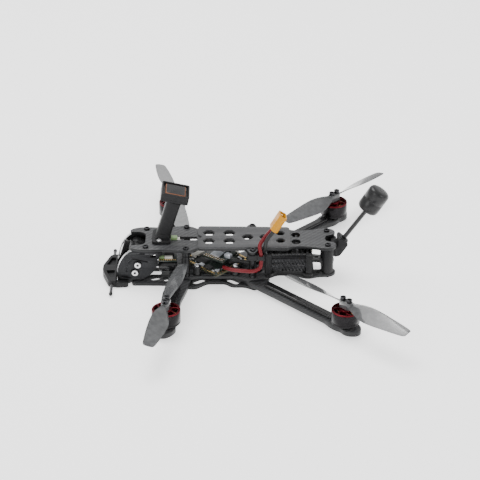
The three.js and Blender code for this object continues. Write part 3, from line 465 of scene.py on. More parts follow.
def block(x0, x1, y0, y1, z0, z1, bevel=0.15, matrix=None, segs=2):
    bm = bmesh.new()
    bmesh.ops.create_cube(bm, size=1)
    bm.transform(Matrix.Translation(((x0 + x1) / 2 * S, (y0 + y1) / 2 * S, (z0 + z1) / 2 * S)) @ Matrix.Diagonal(((x1 - x0) * S, (y1 - y0) * S, (z1 - z0) * S, 1)))
    if bevel:
        bmesh.ops.bevel(bm, geom=bm.edges[:] + bm.verts[:], offset=bevel * S, segments=segs, profile=0.7, affect="EDGES")
    if matrix is not None:
        bm.transform(mm(matrix))
    return bm


def along(x, z, dx, dz, y=0.0):
    """Local Z along a leaning direction in the XZ plane, Y kept."""
    l = math.hypot(dx, dz)
    ux, uz = dx / l, dz / l
    m = Matrix(((uz, 0, ux, x), (0, 1, 0, y), (-ux, 0, uz, z), (0, 0, 0, 1)))
    return m


def cap_screw(x=0, y=0, z=0, r=1.9, h=1.4, hexr=0.9, matrix=None, dome=0.35):
    """A screw head with a hexagonal socket, seated at z."""
    m = Matrix.Translation((x, y, z))
    if matrix is not None:
        m = matrix @ m
    hx = circle(0, 0, hexr, 6, math.pi / 6)
    floor_z = h * 0.42
    top = plate_mesh(circle(0, 0, r, 28), [hx], floor_z, h, min(0.22, (h - floor_z) * 0.3), m)
    low = lathe([(0, 0), (r * 0.96, 0), (r * 0.99, 0.12), (r * 0.99, floor_z + 0.05), (hexr * 0.7, floor_z + 0.02), (0, floor_z)], 28, m)
    return merged(top, low)


def curve_tube(name, pts, radius, mat, body="frame", res=8, bev=4):
    cu = bpy.data.curves.new(name, "CURVE")
    cu.dimensions = "3D"
    cu.bevel_depth = radius * S
    cu.bevel_resolution = bev
    cu.use_fill_caps = True
    sp = cu.splines.new("POLY")
    sp.points.add(len(pts) - 1)
    for i, p in enumerate(pts):
        sp.points[i].co = (p[0] * S, p[1] * S, p[2] * S, 1)
    sp.use_smooth = True
    o = bpy.data.objects.new(name, cu)
    cu.materials.append(mat)
    bpy.context.scene.collection.objects.link(o)
    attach(o, body)
    return o


def catmull(pts, steps=8):
    """Centripetal Catmull-Rom through the points."""
    P = [Vector(p) for p in pts]
    P = [P[0] * 2 - P[1]] + P + [P[-1] * 2 - P[-2]]
    out = []
    for i in range(1, len(P) - 2):
        p0, p1, p2, p3 = P[i - 1], P[i], P[i + 1], P[i + 2]
        t0 = 0.0
        t1 = t0 + max((p1 - p0).length, 1e-6) ** 0.5
        t2 = t1 + max((p2 - p1).length, 1e-6) ** 0.5
        t3 = t2 + max((p3 - p2).length, 1e-6) ** 0.5
        for k in range(steps):
            t = t1 + (t2 - t1) * k / steps
            a1 = p0 * ((t1 - t) / (t1 - t0)) + p1 * ((t - t0) / (t1 - t0))
            a2 = p1 * ((t2 - t) / (t2 - t1)) + p2 * ((t - t1) / (t2 - t1))
            a3 = p2 * ((t3 - t) / (t3 - t2)) + p3 * ((t - t2) / (t3 - t2))
            b1 = a1 * ((t2 - t) / (t2 - t0)) + a2 * ((t - t0) / (t2 - t0))
            b2 = a2 * ((t3 - t) / (t3 - t1)) + a3 * ((t - t1) / (t3 - t1))
            out.append(b1 * ((t2 - t) / (t2 - t1)) + b2 * ((t - t1) / (t2 - t1)))
    out.append(P[-2])
    return out


# ---------------------------------------------------------------- the power lead, first
XA = Vector((-0.532, -0.08, 0.843)).normalized()
XY = (Vector((0, 1, 0)) - XA * XA.y).normalized()
XX = XY.cross(XA)
XT = Matrix.Identity(4)
for i in range(3):
    XT[i][0], XT[i][1], XT[i][2] = XX[i], XY[i], XA[i]
XT.translation = Vector((-15.3, 15, 47.9))


def tail(y, k):
    return tuple(XT @ Vector((0, y, k)))


RED_PATH = [(20.6, 14.6, 13.9), (15.5, 18.6, 14.3), (7, 20.9, 14.5), (0.4, 21.4, 14.8), (-3.4, 20.6, 16.8), (-4.0, 19.2, 20.2), (-4.0, 18.8, 23), (-3.9, 18.7, 25.6), (-3.3, 18.0, 28.5), (-3.2, 16.6, 31.5), (-6.0, 14.9, 35.6), tail(-2.5, -7.2), tail(-2.5, -3.9)]
BLACK_PATH = [(16.9, 8.0, 13.9), (11, 7.9, 14.3), (4.6, 9.6, 14.8), (-1.2, 12.4, 15.6), (-3.4, 14.6, 18.2), (-4.0, 15.5, 21), (-4.0, 15.6, 23), (-4.2, 15.8, 25.6), (-6.2, 16.3, 28.5), (-6.8, 17.3, 31.5), (-7.6, 18.0, 35.6), tail(2.5, -7.2), tail(2.5, -3.9)]


def connector():
    w, t = 2.6, 5.1
    out = rounded([(-w, -t, .35), (w, -t, .35), (w, t - 1.7, .25), (w - 1.7, t, .25), (-w + 1.7, t, .25), (-w, t - 1.7, .25)], 0, 4)
    inn = [(x * 0.72, y * 0.86) for x, y in out]
    back = [circle(0, y, 1.42, 24) for y in (2.5, -2.5)]
    upper = plate_mesh(out, [inn], 0.5, 5.6, 0.18, XT)
    low = plate_mesh(out, back, -6.2, -3.4, 0.18, XT)
    mid = plate_mesh([(x * 0.985, y * 0.985) for x, y in out], [], -3.6, 0.7, 0.05, XT)
    ribs = [block(sx * 2.52 - 0.12, sx * 2.52 + 0.12, -3.4 + i * 1.7, -2.6 + i * 1.7, -4.8, -0.6, 0.08, XT) for sx in (1, -1) for i in range(4)]
    o = finish_mesh("power_connector_shell", merged(upper, low, mid, *ribs), AMBER, stands_for=["power_connector"])
    pins = [lathe([(0, 0.3), (0.95, 0.3), (0.95, 4.2), (0.8, 4.7), (0.45, 4.95), (0, 5.0)], 24, XT @ Matrix.Translation((0, y, 0))) for y in (2.5, -2.5)]
    p = finish_mesh("power_connector_contacts", merged(*pins), GOLD)
    return o, p


shell, contacts = connector()
for name, path, mat, slot_name in (("red", RED_PATH, RED_WIRE, "red_wire"), ("black", BLACK_PATH, BLACK_WIRE, "black_wire")):
    pts = catmull(path, 4)
    w = curve_tube(f"battery_lead_{name}", pts, 1.29, mat)
    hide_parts(f"power_lead_{name}")

# ---------------------------------------------------------------- stage
bm = bmesh.new()
bmesh.ops.create_grid(bm, x_segments=2, y_segments=2, size=3.0)
me = bpy.data.meshes.new("floor")
bm.to_mesh(me)
bm.free()
floor = bpy.data.objects.new("floor", me)
floor.location.z = -0.0002
bpy.context.scene.collection.objects.link(floor)
FL = Mat("pale_floor", (0.9, 0.9, 0.9), 0.75)
FL.b.inputs["Emission Color"].default_value = (1, 1, 1, 1)
FL.b.inputs["Emission Strength"].default_value = 1.0
FL.set("Roughness", FL.ramp(FL.noise(0.02, 3), 0.7, 0.8))
me.materials.append(FL.m)
world = bpy.data.worlds.new("studio")
bpy.context.scene.world = world
world.use_nodes = True
world.node_tree.nodes["Background"].inputs[0].default_value = (1, 1, 1, 1)
world.node_tree.nodes["Background"].inputs[1].default_value = 1.0


def area(name, loc, aim, size, power):
    l = bpy.data.lights.new(name, "AREA")
    l.shape, l.size, l.size_y, l.energy = "RECTANGLE", size[0], size[1], power
    o = bpy.data.objects.new(name, l)
    o.location = loc
    o.rotation_euler = (Vector(aim) - Vector(loc)).to_track_quat("-Z", "Y").to_euler()
    bpy.context.scene.collection.objects.link(o)


area("key", (0.25, -0.35, 1.1), (0, 0, 0), (0.9, 0.7), 14)
area("fill", (0.9, 1.0, 0.7), (0, 0, 0.02), (0.7, 0.7), 6)
area("side", (-1.0, 0.5, 0.5), (0, 0, 0.02), (0.6, 0.5), 4)

# ---------------------------------------------------------------- carbon plates
def holes_at(points, r=1.05):
    return [circle(x, y, r, 20) for x, y in points]


both = lambda p: [(p[0], p[1]), (p[0], -p[1])]
bottom = rounded(mirrored([(-10, 0), (-10, 9, 2), (-6.5, 15.4, 1), (-0.1, 21.8, 1.5), (6.5, 17.7, 2.5), (15.3, 17.7, 2.5), (19.1, 13.5, 2.5), (31.3, 13.5, 2.5), (38.7, 20.1, 2.5), (43, 20.1, 2.5),
                           (48, 19, 2), (57, 15.3, 4), (80.4, 15.0, 1.0), (81.6, 10.0, 0.4), (90.8, 10.0, 1.2), (90.8, 0)]))
bh = []
for s in SIDES:
    bh += [stadium(34.9, s * 10.7, 38.6, s * 13.4, 2.5), stadium(16.2, s * 10.7, 12.4, s * 13.8, 2.5), stadium(64.4, s * 8.0, 67.0, s * 8.9, 2.2), stadium(56.2, s * 9.3, 58.6, s * 10.1, 2.2), stadium(74, s * 6.6, 77, s * 6.6, 1.5)]
bh += holes_at(both(ROW2) + both(ROW3), 2.0)
bh += [stadium(83, 0, 87, 0, 2.0), rounded([(62, -3.6), (79, -3.6), (79, 3.6), (62, 3.6)], 1.5)]
finish_mesh("bottom_plate_woven", plate_mesh(bottom, bh, *Z_BP, 0.2), CARBON, stands_for=["bottom_plate"])

FRONT = [(56.6, 0.5), (57.0, 20), (57.8, 27, 3), (60.1, 31.5, 3), (60.5, 38, 3), (61.2, 47, 3), (62.2, 57, 3), (63.6, 63.5, 2.5), (63.2, 72.5, 3), (64.2, 79, 2.5), (61.5, 84.4, 2.5), (57.4, 85.1, 2.5),
         (53.2, 82, 2.5), (50.3, 77, 2.5), (50.9, 72.0, 3), (49.2, 67, 2.5), (48.8, 60, 3), (48.9, 50, 3), (47.8, 41, 3), (45.2, 31, 3), (43.2, 21.8, 3), (42.0, 12, 3), (42.0, 0.5)]


def rear_outline():
    q = math.sqrt(0.5)
    at = lambda a, p: (-MX - q * a + q * p, MY + q * a + q * p, 2.2)
    s = [(11.9, 1.8), (8.6, 5.3), (4.9, 6.6), (0.4, 5.6), (-4.6, 6.7), (-9.4, 6.0), (-13.5, 4.9)]
    return [at(a, p) for a, p in s] + [(22.8, 0.5, 0), (8.8, 0.5, 0)] + [at(a, -p) for a, p in reversed(s)]


def motor_holes(cx, cy, rot):
    return [circle(cx, cy, 1.9, 20)] + [circle(cx + PAD_HOLES * math.cos(rot + i * math.pi / 2), cy + PAD_HOLES * math.sin(rot + i * math.pi / 2), 1.05, 16) for i in range(4)]


for end, outl, hs, pts in (("front", rounded(FRONT, 1.6), motor_holes(MX, MY, FRONT_ROT), [ROW2, STUDS[0]]), ("rear", rounded(rear_outline(), 2), motor_holes(-MX, MY, REAR_ROT), [ROW3, STUDS[1]])):
    for side, s in (("left", 1), ("right", -1)):
        f = lambda loop: [(x, s * y) for x, y in loop]
        finish_mesh(f"arm_{end}_{side}_woven", plate_mesh(f(outl), [f(h) for h in hs + holes_at(pts)], *Z_ARM, 0.3, segs=3), CARBON, stands_for=[f"arm_{end}_{side}"])

main = rounded(mirrored([(-46.2, 0), (-47, 3.6, 1.5), (-52.4, 5.2, 1), (-53.8, 8, 2), (-52.6, 11.4, 2), (-49.4, 13.4, 2), (-42, 14, 2), (-36.5, 16.0, 1.5), (-33, 15.8, 1.5), (-26.8, 12.4, 3), (-15.2, 11.5, 3),
                         (-8.1, 16.6, 2), (-4, 19.3, 2), (5, 19.3, 2), (9.5, 16.6, 2), (14, 15.6, 2), (37, 15.6, 2), (41, 17.6, 2), (48, 17.6, 2), (50.5, 15, 1.5), (50.5, 0)]))
mh = holes_at([q for p in (ROW2, ROW3, ROW4, *STUDS) for q in both(p)] + list(STACK))
for s in SIDES:
    mh += [stadium(-38.6, s * 10.4, -37.4, s * 10.4, 0.9), stadium(-42.4, s * 10.4, -41.2, s * 10.4, 0.9), rounded(hex_slot(-5.5, 6, 5 if s > 0 else -11, 11 if s > 0 else -5))]
mh += [rounded([(-44.2, -6.2), (-30, -6.2), (-30, 6.2), (-44.2, 6.2)], 2), rounded([(-27, -5.6), (-13, -5.6), (-13, 5.6), (-27, 5.6)], 2)]
finish_mesh("main_plate_woven", plate_mesh(main, mh, *Z_MP, 0.2), CARBON, stands_for=["main_plate"])

SLOTS = []
for s in SIDES:
    y = (2.1, 9.0) if s > 0 else (-9.0, -2.1)
    SLOTS += [(26, 34.2, *y), (12.4, 20.7, *y), (-20.4, -13.9, *((2.1, 8) if s > 0 else (-8, -2.1)))]
SLOTS += [(0.4, 8.3, -3.3, 3.3), (-11, -3.1, -3.3, 3.3)]
top = rounded(mirrored([(-46.5, 0), (-47.3, 3.4, 1.5), (-52.4, 5.4, 1), (-53.8, 8, 2), (-53, 11.6, 2), (-50, 13.7, 2), (-45, 13.6, 3), (-38, 11.6, 4), (-30, 10.7, 3), (-25, 11.2, 1.5), (-21.5, 13.8, 1.5),
                        (-2.6, 13.8, 0.4), (-1.1, 18.2, 1), (0.2, 19.4, 1), (2.6, 19.4, 1), (4.4, 18.2, 1), (6, 13.8, 1), (34, 13.8, 1), (37.7, 13.4, 1), (42, 16.4, 2), (46.8, 17.5, 2), (52, 16.3, 2), (60, 15.1, 2),
                        (68, 15.6, 2), (76, 15.4, 2), (80.9, 13.6, 2), (82.7, 11.3, 1), (82.2, 9.2, 0.8), (76, 8.9, 1.5), (73.4, 7.9, 1.5), (72.1, 5.6, 1.5), (72.1, 0)]))
th = holes_at([q for p in (ROW1, ROW2, ROW3, ROW4, (62.8, 6.6)) for q in both(p)])
for s in SIDES:
    th.append(rounded(hex_slot(-30.4, -24.3, 1.65 if s > 0 else -7.75, 7.75 if s > 0 else -1.65, 0.3)))
th += [rounded(hex_slot(q[0] + 0.1, q[1] - 0.1, q[2] + 0.1, q[3] - 0.1)) for q in SLOTS]
th.append(rounded(mirrored([(37.8, 0), (38.2, 2.3, 0.5), (54, 2.3, 1), (57.5, 4.2, 1), (65, 4.2, 1), (68.2, 0)])))
finish_mesh("top_plate_woven", plate_mesh(top, th, *Z_TP, 0.2), CARBON, stands_for=["top_plate"])

pad = rounded([(-23.4, 13.5, 2.5), (1, 14.2, 0), (35.8, 14.9, 0.8), (37.4, 13.6, 0.8), (37.4, 3.0, 0.5), (34.6, 0, 0.5), (37.4, -3.0, 0.5), (37.4, -13.6, 0.8), (35.8, -14.9, 0.8), (1, -14.2, 0), (-23.4, -13.5, 2.5)])
battery = finish_mesh("battery_foam", plate_mesh(pad, [rounded(hex_slot(*q), 0, 6) for q in SLOTS], Z_TP[1], Z_TP[1] + PAD_T, 0.35, segs=3), FOAM, stands_for=["battery_pad"])

# ---------------------------------------------------------------- standoffs and screws
for row, p in (("front", ROW2), ("middle", ROW3), ("rear", ROW4)):
    for side, s in (("left", 1), ("right", -1)):
        z0, z1 = Z_MP[1], Z_TP[0]
        prof = [(0, z0), (2.15, z0), (2.48, z0 + 0.35), (2.48, z0 + 2.2), (2.2, z0 + 2.5), (2.2, z0 + 2.9), (2.48, z0 + 3.2), (2.48, z1 - 3.2), (2.2, z1 - 2.9), (2.2, z1 - 2.5), (2.48, z1 - 2.2), (2.48, z1 - 0.35), (2.15, z1), (0, z1)]
        finish_mesh(f"standoff_{row}_{side}_turned", lathe(prof, 40, place(p[0], s * p[1], 0)), BLACK_ANO, stands_for=[f"standoff_{row}_{side}"])
heads = [cap_screw(x, y, Z_TP[1], 1.9, 1.35) for p in (ROW1, ROW2, ROW3, ROW4) for x, y in both(p)]
finish_mesh("top_plate_screw_heads", merged(*heads), DARK_STEEL)
mast_heads = [cap_screw(62.8, s * 6.6, Z_TP[1] + 1.35, 1.75, 1.25) for s in SIDES]
finish_mesh("mast_screw_heads", merged(*mast_heads), STEEL)
down = Matrix.Rotation(math.pi, 4, "X")
under = [cap_screw(0, 0, 0, 1.85, 0.85, 0.85, place(x, y, 1.0) @ down) for p in (ROW2, ROW3) for x, y in both(p)]
under += [cap_screw(0, 0, 0, 1.85, 1.25, 0.85, place(x, y, 5.4) @ down) for x, y in both(ROW4)]
for cx, cy, rot in ((MX, MY, FRONT_ROT), (MX, -MY, -FRONT_ROT), (-MX, MY, REAR_ROT), (-MX, -MY, -REAR_ROT)):
    for i in range(4):
        q = rot + i * math.pi / 2
        under.append(cap_screw(0, 0, 0, 1.8, 1.0, 0.8, place(cx + PAD_HOLES * math.cos(q), cy + PAD_HOLES * math.sin(q), 1.98) @ down))
finish_mesh("underside_screw_heads", merged(*under), DARK_STEEL)
studs = [lathe([(0, 0.05), (1.5, 0.05), (1.6, 0.2), (1.6, 0.5), (0.9, 0.6), (0.9, Z_MP[1] - 0.1), (0, Z_MP[1] - 0.05)], 24, place(x, y, 0)) for p in STUDS for x, y in both(p)]
finish_mesh("pressed_studs", merged(*studs), STEEL)

# ---------------------------------------------------------------- camera side plates
SIDE = rounded([(82.0, 25.2, 1.6), (64.5, 25.2, 0.6), (60.1, 23.7, 0.8), (64.0, 19.0, 2), (63.7, 15.2, 3), (66.9, 8.8, 3), (74.4, 3.4, 2.5), (80.7, 3.2, 0.8), (82.1, 0.9, 0.4),
                (89.4, 0.15, 0.5), (90.5, 4.4, 3), (90.9, 9.0, 3), (90.2, 13.2, 3), (88.7, 17.0, 3), (86.2, 21.4, 3)], 0, 6)


def arc(cx, cz, r, a0, a1, n=14):
    return [(cx + r * math.cos((a0 + (a1 - a0) * i / n) * DEG), cz + r * math.sin((a0 + (a1 - a0) * i / n) * DEG)) for i in range(n + 1)]


slot_hole = arc(*PIVOT, 4.95, -96, -48) + arc(*PIVOT, 7.25, -48, -96)
lobes = [(64.7, 20.7, .3), (66.2, 20.3, .4), (68.8, 20.5, .5), (69.3, 21.6, .5), (68.4, 22.6, .4), (66.8, 22.0, .3), (65.3, 22.5, .4)]
UP = Matrix(((1, 0, 0, 0), (0, 0, -1, 0), (0, 1, 0, 0), (0, 0, 0, 1)))   # (x, y, z) -> (x, -z, y)
for side, s in (("left", 1), ("right", -1)):
    # a 0.5 mm recessed face between the grooves: plate body, then a raised skin with the grooves cut in it
    skin_holes = [circle(*PIVOT, 2.6, 30), slot_hole, rounded(lobes, 0.3), rounded([(84.0, 9.6), (84.9, 9.8), (84.2, 15.4), (80.6, 20.3), (70.2, 17.7), (70.5, 16.8), (80.2, 19.2), (83.3, 14.9)], 0.25),
                  rounded([(87.6, 6.6), (81.2, 5.4), (81.4, 4.5), (87.9, 5.6)], 0.25), stadium(72.4, 23.2, 75.6, 23.2, 0.35)]
    y0, y1 = (SIDE_Y[0], SIDE_Y[1] - 0.6)
    m = UP if s > 0 else Matrix.Scale(-1, 4, (0, 1, 0)) @ UP
    body = plate_mesh(SIDE, [circle(*PIVOT, 1.3, 24), slot_hole, rounded(lobes, 0.3)], -y1, -y0, 0.12, m)
    skin = plate_mesh(SIDE, skin_holes, -SIDE_Y[1] + 0.01, -y1 + 0.1, 0.15, m)
    bm = merged(body, skin)
    bm.normal_update()
    # painted highlight: the edge faces along the upper front and top rim get bright steel, standing in for the light
    # band where these edges catch the light
    for f in bm.faces:
        c = f.calc_center_median() / S
        if abs(f.normal.y) < 0.93 and math.hypot(c.x - 64, c.z - 6) > 22.5 and c.z > 9.5 and (c.x > 85.9 - max(0, (c.z - 20)) * 1.4 or c.z > 25.05) and c.x > 74:
            f.material_index = 1
    finish_mesh(f"camera_guard_{side}", bm, [GREY_ANO, STEEL], stands_for=[f"camera_side_plate_{side}"])

# ---------------------------------------------------------------- camera
CM = Matrix.Translation((PIVOT[0], 0, PIVOT[1])) @ Matrix.Rotation(-CAM_TILT * DEG, 4, "Y")
shape = rounded([(-8.5, -9.3, 2.4), (6.0, -9.3, 2.4), (6.2, 5.8, 2.0), (4.4, 7.6, 2.0), (-6.5, 7.6, 2.2), (-8.5, 5.6, 2.2)], 0, 6)
camb = [plate_mesh(shape, [], -10.05, -3.6, 0.5, CM @ UP, 3), plate_mesh(shape, [], 3.6, 10.05, 0.5, CM @ UP, 3), plate_mesh([(x * 0.975, z * 0.975) for x, z in shape], [], -3.8, 3.8, 0.1, CM @ UP)]
ROTX = Matrix.Rotation(90 * DEG, 4, "Y")      # local Z to X
camb.append(lathe([(6.4, 5.9), (7.45, 5.9), (7.6, 6.1), (7.6, 8.1), (7.35, 8.4), (6.5, 8.4), (6.4, 8.2)], 64, CM @ ROTX))
camb += [block(-8.75, -8.3, -6 + i * 2.0, -5.2 + i * 2.0, -5, 4, 0.1, CM) for i in range(7)]
finish_mesh("camera_housing", merged(*camb), PLASTIC, "camera", stands_for=["camera_body"])
ribs = [(0, 4.6), (6.1, 4.6), (6.1, 8.5), (6.55, 8.6)]
z = 8.7
while z < 11.2:
    ribs += [(6.9, z), (6.9, z + 0.32), (6.65, z + 0.36), (6.65, z + 0.5)]
    z += 0.54
ribs += [(6.9, 11.3), (6.9, 11.95), (6.7, 12.25), (6.2, 12.3), (5.6, 12.2), (5.2, 11.6), (4.9, 11.3), (0, 11.2)]
finish_mesh("camera_lens_ring", lathe(ribs, 72, CM @ ROTX), BELL_BLACK, "camera", stands_for=["camera_lens_barrel"])
finish_mesh("camera_front_glass", lathe([(0, 11.35), (4.75, 11.35), (4.6, 11.5), (3.9, 11.85), (3.0, 12.08), (2.0, 12.24), (1.0, 12.32), (0, 12.35)], 56, CM @ ROTX), GLASS, "camera", smooth=60, stands_for=["camera_lens_glass"])
low = Vector((78.9 - PIVOT[0], 9.5 - PIVOT[1]))
cs, sn = math.cos(CAM_TILT * DEG), math.sin(CAM_TILT * DEG)
low = (low.x * cs + low.y * sn, -low.x * sn + low.y * cs)
cscr = []
for k in SIDES:
    for q in ((0, 0), low):
        face = Matrix.Rotation(-90 * DEG * k, 4, "X")
        cscr.append(cap_screw(0, 0, 0, 2.1, 1.45, 0.95, CM @ Matrix.Translation((q[0], k * (SIDE_Y[1] + 0.27), q[1])) @ face))
        cscr.append(lathe([(0, 0), (0.85, 0), (0.85, 4.0), (0, 4.0)], 20, CM @ Matrix.Translation((q[0], k * 9.9, q[1])) @ face))
finish_mesh("camera_screws", merged(*cscr), STEEL, "camera")
# painted shade: a dark disc at the floor of each hex socket stands in for the shadow inside the recess
socket_shade = [lathe([(0, 0.62), (0.86, 0.62), (0.86, 0.8), (0, 0.8)], 6, CM @ Matrix.Translation((q[0], k * (SIDE_Y[1] + 0.27), q[1])) @ Matrix.Rotation(-90 * DEG * k, 4, "X") @ Matrix.Rotation(math.pi / 6, 4, "Z")) for k in SIDES for q in ((0, 0), low)]
finish_mesh("camera_screw_socket_shade", merged(*socket_shade), CHIP, "camera", smooth=0)

# ---------------------------------------------------------------- front bumper and antenna
nose = rounded([(91.3, 18.0, 1.2), (96.4, 17.2, 2.0), (101, 3.4, 2.0), (101, -3.4, 2.0), (96.4, -17.2, 2.0), (91.3, -18.0, 1.2)])
bp = [plate_mesh(nose, [rounded([(92.9, s * 3.4), (92.9, s * 13.6), (95.4, s * 13.4), (98.5, s * 3.8)], 0.8) for s in SIDES], 3.4, 5.4, 0.35, segs=3), plate_mesh(nose, [], 0.15, 3.5, 0.35, segs=3)]
for s in SIDES:
    bp.append(plate_mesh(rounded([(83.4, s * 14.0, .4), (83.4, s * 17.6, 1.5), (91.6, s * 18.4, 1), (91.6, s * 14.0, .2)]), [], 0.15, 3.9, 0.3, segs=3))
finish_mesh("nose_bumper", merged(*bp), PRINT, stands_for=["front_bumper"])
ty = Matrix.Translation((94.4, 0, 1.75)) @ Matrix.Rotation(-90 * DEG, 4, "X")
tube = lathe([(0, -27.7), (0.98, -27.7), (0.98, 27.7), (0, 27.7)], 32, ty)
tips = [lathe([(0, k * 27.5), (1.12, k * 27.5), (1.24, k * 27.8), (1.24, k * 29.2), (1.0, k * 29.8), (0.5, k * 30.05), (0, k * 30.1)], 32, ty) for k in SIDES]
finish_mesh("antenna_tube", tube, GREY_TUBE, stands_for=["receiver_antenna"])
finish_mesh("antenna_tips", merged(*tips), BLACK_WIRE)

# ---------------------------------------------------------------- navigation mast
F = along(61.4, Z_TP[1], -8.9, 29.5)
sect = rounded([(-5.0, -4.6, 3.2), (5.0, -4.6, 3.2), (5.0, 4.6, 3.2), (-5.0, 4.6, 3.2)], 0, 10)
bm = bmesh.new()
rings = []
for k in range(15):
    h = 29.5 * k / 14
    w = 1.0 - 0.06 * math.sin(math.pi * k / 14)
    ring = []
    for x, y in sect:
        p = F @ Vector((x * w, y * w, h))
        if k == 0:
            p = Vector((p.x + (Z_TP[1] + 0.3 - p.z) * (-8.9 / 29.5), p.y, Z_TP[1] + 0.3))
        ring.append(bm.verts.new(p * S))
    rings.append(ring)
for a, b in zip(rings, rings[1:]):
    for i in range(len(a)):
        j = (i + 1) % len(a)
        bm.faces.new([a[i], a[j], b[j], b[i]])
bm.faces.new(rings[0]); bm.faces.new(rings[-1])
foot = plate_mesh(rounded([(55.6, -8.8), (67.6, -8.8), (67.6, 8.8), (55.6, 8.8)], 2.6, 8), [circle(62.8, s * 6.6, 2.05, 28) for s in SIDES], Z_TP[1], Z_TP[1] + 2.2, 0.3, segs=3)
foot2 = plate_mesh(rounded([(55.9, -8.5), (67.3, -8.5), (67.3, 8.5), (55.9, 8.5)], 2.6, 8), [], Z_TP[1] + 0.05, Z_TP[1] + 1.3, 0.05)
gus = [plate_mesh(rounded([(55.9, Z_TP[1] + 1.8), (66.2, Z_TP[1] + 1.8), (62.5, Z_TP[1] + 5.2), (57.4, Z_TP[1] + 5.2)], 0.8), [], -4.9, -3.9, 0.2, UP), plate_mesh(rounded([(55.9, Z_TP[1] + 1.8), (66.2, Z_TP[1] + 1.8), (62.5, Z_TP[1] + 5.2), (57.4, Z_TP[1] + 5.2)], 0.8), [], 3.9, 4.9, 0.2, UP)]
finish_mesh("mast_print", merged(bm, foot, foot2, *gus), PRINT, stands_for=["gps_mast"])
H = Matrix.Translation((52.1, 0, 61.25)) @ Matrix.Rotation(-12.2 * DEG, 4, "Y")
sq = lambda a, r: rounded([(-a, -a), (a, -a), (a, a), (-a, a)], r, 6)
tr = [plate_mesh(sq(9.2, 1.6), [sq(8.0, 0.8)], -1.4, 2.7, 0.25, H, 3), plate_mesh(sq(9.2, 1.6), [], -2.9, -1.3, 0.25, H, 3)]
# side windows show as framed recesses
for a in range(4):
    R = H @ Matrix.Rotation(a * math.pi / 2, 4, "Z")
    tr.append(block(8.98, 9.22, -6.3, -5.7, -1.6, 1.6, 0.08, R)); tr.append(block(8.98, 9.22, 5.7, 6.3, -1.6, 1.6, 0.08, R)); tr.append(block(8.98, 9.22, -6.3, 6.3, 1.35, 1.85, 0.08, R)); tr.append(block(8.98, 9.22, -6.3, 6.3, -1.85, -1.35, 0.08, R))
finish_mesh("mast_tray", merged(*tr), PRINT, stands_for=["gps_tray"])
finish_mesh("navigation_board", merged(plate_mesh(sq(7.7, 0.5), [], -1.2, 0.4, 0.1, H), block(-7.2, -5.4, -6.4, -2.0, 0.3, 1.9, 0.12, H)), BOARD, stands_for=["gps_receiver"])
finish_mesh("navigation_ceramic", plate_mesh(sq(6.6, 0.8), [], 0.35, 2.35, 0.35, H, 3), CERAMIC)
finish_mesh("navigation_cover", merged(plate_mesh(rounded([(-6.1, -6.1, 0.6), (6.1, -6.1, 0.6), (6.1, 6.1, 1.6), (-6.1, 6.1, 0.6)], 0.6), [], 2.3, 2.5, 0.06, H), plate_mesh(sq(7.9, 0.6), [sq(6.75, 0.8)], 0.3, 1.1, 0.08, H)), PLASTIC)
finish_mesh("navigation_plug", merged(block(51.3, 55.3, -1.9, 1.9, 26.4, 28.7, 0.25, None, 3), block(51.0, 51.6, -1.5, 1.5, 26.8, 28.2, 0.15)), GREEN)
finish_mesh("navigation_plug_pins", merged(*[block(49.4, 51.2, -1.3 + k * 0.9, -0.8 + k * 0.9, 27.2, 27.7, 0.1) for k in range(4)]), CREAM)

# ---------------------------------------------------------------- tail antenna
parts = []
for s in SIDES:
    parts.append(lathe([(2.62, 8.1), (3.7, 8.1), (3.85, 8.4), (3.85, 24.9), (3.7, 25.2), (2.62, 25.2)], 40, place(ROW4[0], s * ROW4[1], 0)))
parts.append(block(-54.4, -50.6, -8, 8, 18.0, 25.2, 0.9, None, 4))
for k in range(3):
    parts.append(block(-54.45, -54.0, -5.2 + k * 4.2, -3.2 + k * 4.2, 18.8, 24.2, 0.2))
parts.append(plate_mesh(rounded([(-52.9, 15.8), (-56.6, 16.8), (-61.7, 24.7), (-61.1, 26.1), (-55.6, 29.9), (-54.6, 28.9), (-54.6, 24.6), (-52.9, 24.6)], 1.2, 6), [], -5.4, 5.4, 0.9, UP, 4))
A = along(-59.0, 27.7, -13.1, 19.3)
parts.append(lathe([(1.7, -5.8), (1.7, -7.9), (3.3, -8.0), (3.75, -7.5), (3.75, -0.5), (3.45, 0.2), (1.95, 0.3), (1.7, 0.1)], 48, A))
finish_mesh("tail_mount_print", merged(*parts), PRINT, stands_for=["rear_antenna_mount"])
clamp = [cap_screw(0, 0, 0, 1.5, 1.0, 0.75, A @ Matrix.Translation((2.6, s * 3.4, -0.9))) for s in SIDES]
finish_mesh("tail_clamp_screws", merged(*clamp), DARK_STEEL)
finish_mesh("tail_antenna_stalk", lathe([(0, -6), (1.48, -6), (1.48, 23.6), (1.62, 23.9), (1.62, 24.9), (0, 24.9)], 36, A), SLEEVE, stands_for=["rear_antenna_stalk"])
D = along(-72.1, 47.0, -9.2, 14.6)
finish_mesh("tail_antenna_cap", lathe([(0, 0.9), (2.15, 0.9), (2.25, 1.9), (5.2, 2.1), (6.2, 2.5), (6.85, 3.15), (7.15, 4.0), (7.28, 5.0), (7.28, 10.4), (7.2, 10.5), (7.2, 10.75), (7.28, 10.85), (7.28, 16.2), (7.15, 17.1), (6.85, 17.9), (6.2, 18.6), (5.2, 19.0), (3, 19.15), (0, 19.18)], 80, D), PLASTIC, stands_for=["rear_antenna_head"])

# ---------------------------------------------------------------- video unit
unit = rounded([(-37.7, -15.0), (-8.0, -15.0), (-8.0, 15.0), (-37.7, 15.0)], 1.8, 6)
inner = [(-22.85 + (x + 22.85) * 0.95, y * 0.953) for x, y in unit]
vb = [plate_mesh(inner, [], 10.5, 20.1, 0.1), plate_mesh(unit, [], 10.4, 11.4, 0.3), plate_mesh(unit, [], 19.5, 20.2, 0.2)]
